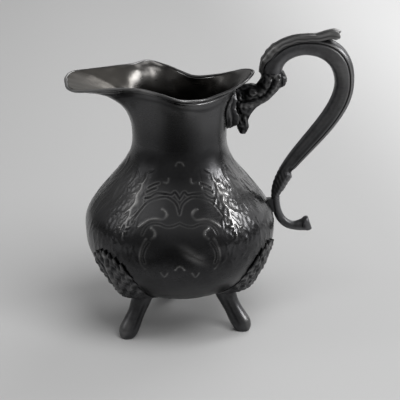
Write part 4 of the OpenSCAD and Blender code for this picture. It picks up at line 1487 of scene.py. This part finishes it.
class JUG_OT_stage(bpy.types.Operator):
    """Sets up the floor, the lamps and the camera"""

    bl_idname = "jug.stage"
    bl_label = "Stage"

    def floor(self, context, g):
        """A round pale floor of rings about the jug, with a painted pool of light beyond the handle and a
        little painted shade on the spout's side."""
        angle = np.linspace(0, 2 * np.pi, 64, endpoint=False)
        top = spun_rows(FLOOR_RINGS, np.zeros(len(FLOOR_RINGS)), angle)
        under = spun_rows(FLOOR_RINGS[::-1], np.full(len(FLOOR_RINGS), -0.01), angle)
        mesh = loft("floor", np.concatenate([top, under]))
        material, shader, place = fresh_material("pale_floor")

        def toward(direction, start, reach):
            """A value that climbs from 0 to 1 along a direction over the floor."""
            along = {0: place, 1: direction}
            far = place.node("ShaderNodeVectorMath", {"operation": "DOT_PRODUCT"}, along, output=1)
            limits = {"Value": far, "From Min": start, "From Max": start + reach}
            return place.node("ShaderNodeMapRange", {"interpolation_type": "SMOOTHSTEP"}, limits)

        pale = np.array(g.floor)
        # Painted pool of light beyond the handle.
        patch = toward(POOL_OF_LIGHT_HEADING, 0.13, 0.17) * (1 - toward(POOL_OF_LIGHT_HEADING, 0.32, 0.4))
        tone = patch.mixed(rgba(pale), rgba(np.minimum(pale * 1.5, PALEST)))
        # Painted shade on the spout's side.
        tone = toward((-1.0, 0.0, 0.0), 0.0, 0.1).mixed(tone, rgba(pale * 0.95))
        tone.feed(shader["Base Color"])
        shader["Roughness"].default_value = 0.9
        shader["Specular IOR Level"].default_value = 0.1
        mesh.materials.append(material)
        added(context, "floor", mesh)

    def flag(self, context, g):
        """A fan of dark card just above the floor before the jug, which only reflections see. It is as pale
        as the floor at its edges and dark in its middle."""
        heading, far = np.meshgrid(np.radians(np.linspace(-170, -40, 40)), np.geomspace(0.075, 1.6, 40))
        top = np.stack([far * np.cos(heading), far * np.sin(heading), np.full(far.shape, 2 * MM)], -1)
        off = np.abs(np.degrees(heading) + 101)
        wide = blend(100, 66, after(far, 0.09, 0.1))
        dark = ease((wide - off) / 54) * after(far, 0.06, 0.08)
        mesh = loft("flag", two_faced(top, top - [0, 0, MM]), dark=two_faced(dark, dark))
        material, shader, place = fresh_material("dark_card")
        place.mark("dark").mixed(rgba(g.floor), rgba(CARD_COLOUR)).feed(shader["Base Color"])
        shader["Roughness"].default_value = 1.0
        mesh.materials.append(material)
        card = added(context, "flag", mesh)
        for ray in CARD_UNSEEN:
            setattr(card, "visible_" + ray, False)

    def camera(self, context, g):
        """The camera before the jug and a little to the spout's side, looking down and past the axis."""
        c, s = math.cos(g.camera_turn), math.sin(g.camera_turn)
        ahead = np.array([-s, c, 0.0])
        right = np.array([c, s, 0.0])
        yc, ys = math.cos(g.camera_yaw), math.sin(g.camera_yaw)
        level, right = ahead * yc + right * ys, right * yc - ahead * ys
        look = level * math.cos(g.camera_pitch) + np.array([0, 0, -math.sin(g.camera_pitch)])
        lens = bpy.data.cameras.new("camera")
        lens.lens = g.lens
        lens.clip_end = 50
        eye = added(context, "camera", lens)
        place = (g.camera_out * s, -g.camera_out * c, g.camera_z)
        eye.matrix_world = posed(place, right, np.cross(right, look), -look)
        context.scene.camera = eye

    def lamp(self, context, name, watts, toward, distance, size):
        """A rectangular soft lamp in a direction from the jug's middle, facing it."""
        light = bpy.data.lights.new(name, "AREA")
        light.shape = "RECTANGLE"
        light.size, light.size_y = size
        light.energy = watts
        made = added(context, name, light)
        right = unit(np.cross((0, 0, 1), toward))
        made.matrix_world = posed(JUG_MIDDLE + distance * toward, right, np.cross(toward, right), toward)
        return made

    def execute(self, context):
        g = context.scene.jug_stage
        self.floor(context, g)
        self.camera(context, g)
        for name, distance, azimuth, elevation, size, unseen in LAMPS:
            a, e = math.radians(azimuth), math.radians(elevation)
            toward = np.array([math.cos(e) * math.cos(a), math.cos(e) * math.sin(a), math.sin(e)])
            made = self.lamp(context, name + "_lamp", getattr(g, name), toward, distance, size)
            if unseen:
                setattr(made, "visible_" + unseen, False)
        self.flag(context, g)
        world = bpy.data.worlds.new("studio")
        context.scene.world = world
        world.use_nodes = True
        sky = world.node_tree.nodes["Background"].inputs
        sky["Color"].default_value = (1, 1, 1, 1)
        sky["Strength"].default_value = g.air
        context.scene.view_settings.view_transform = "Standard"
        return {"FINISHED"}


class JUG_PT_panel(bpy.types.Panel):
    """Lists the jug's pieces in the sidebar"""

    bl_label = "Cream Jug"
    bl_idname = "JUG_PT_panel"
    bl_space_type = "VIEW_3D"
    bl_region_type = "UI"
    bl_category = "Jug"

    def draw(self, context):
        for operator in OPERATORS:
            self.layout.operator(operator.bl_idname)


GROUPS = {"jug_body": JugBody, "jug_mouth": JugMouth, "jug_handle": JugHandle, "jug_feet": JugFeet,
          "jug_finish": JugFinish, "jug_stage": JugStage}
OPERATORS = (JUG_OT_body, JUG_OT_mouth, JUG_OT_rim, JUG_OT_handle, JUG_OT_crown_leaf, JUG_OT_bracket,
             JUG_OT_palmette, JUG_OT_solder_pad, JUG_OT_feet, JUG_OT_leaf_mounts, JUG_OT_stage)


def register():
    """Adds the groups, operators and panel to Blender."""
    for name, group in GROUPS.items():
        bpy.utils.register_class(group)
        setattr(bpy.types.Scene, name, PointerProperty(type=group))
    for made in (*OPERATORS, JUG_PT_panel):
        bpy.utils.register_class(made)


def unregister():
    """Takes them out again."""
    for made in (JUG_PT_panel, *reversed(OPERATORS)):
        bpy.utils.unregister_class(made)
    for name, group in GROUPS.items():
        delattr(bpy.types.Scene, name)
        bpy.utils.unregister_class(group)


def main():
    """Builds every piece."""
    register()
    for operator in OPERATORS:
        family, name = operator.bl_idname.split(".")
        getattr(getattr(bpy.ops, family), name)()
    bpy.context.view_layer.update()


if __name__ == "__main__":
    main()
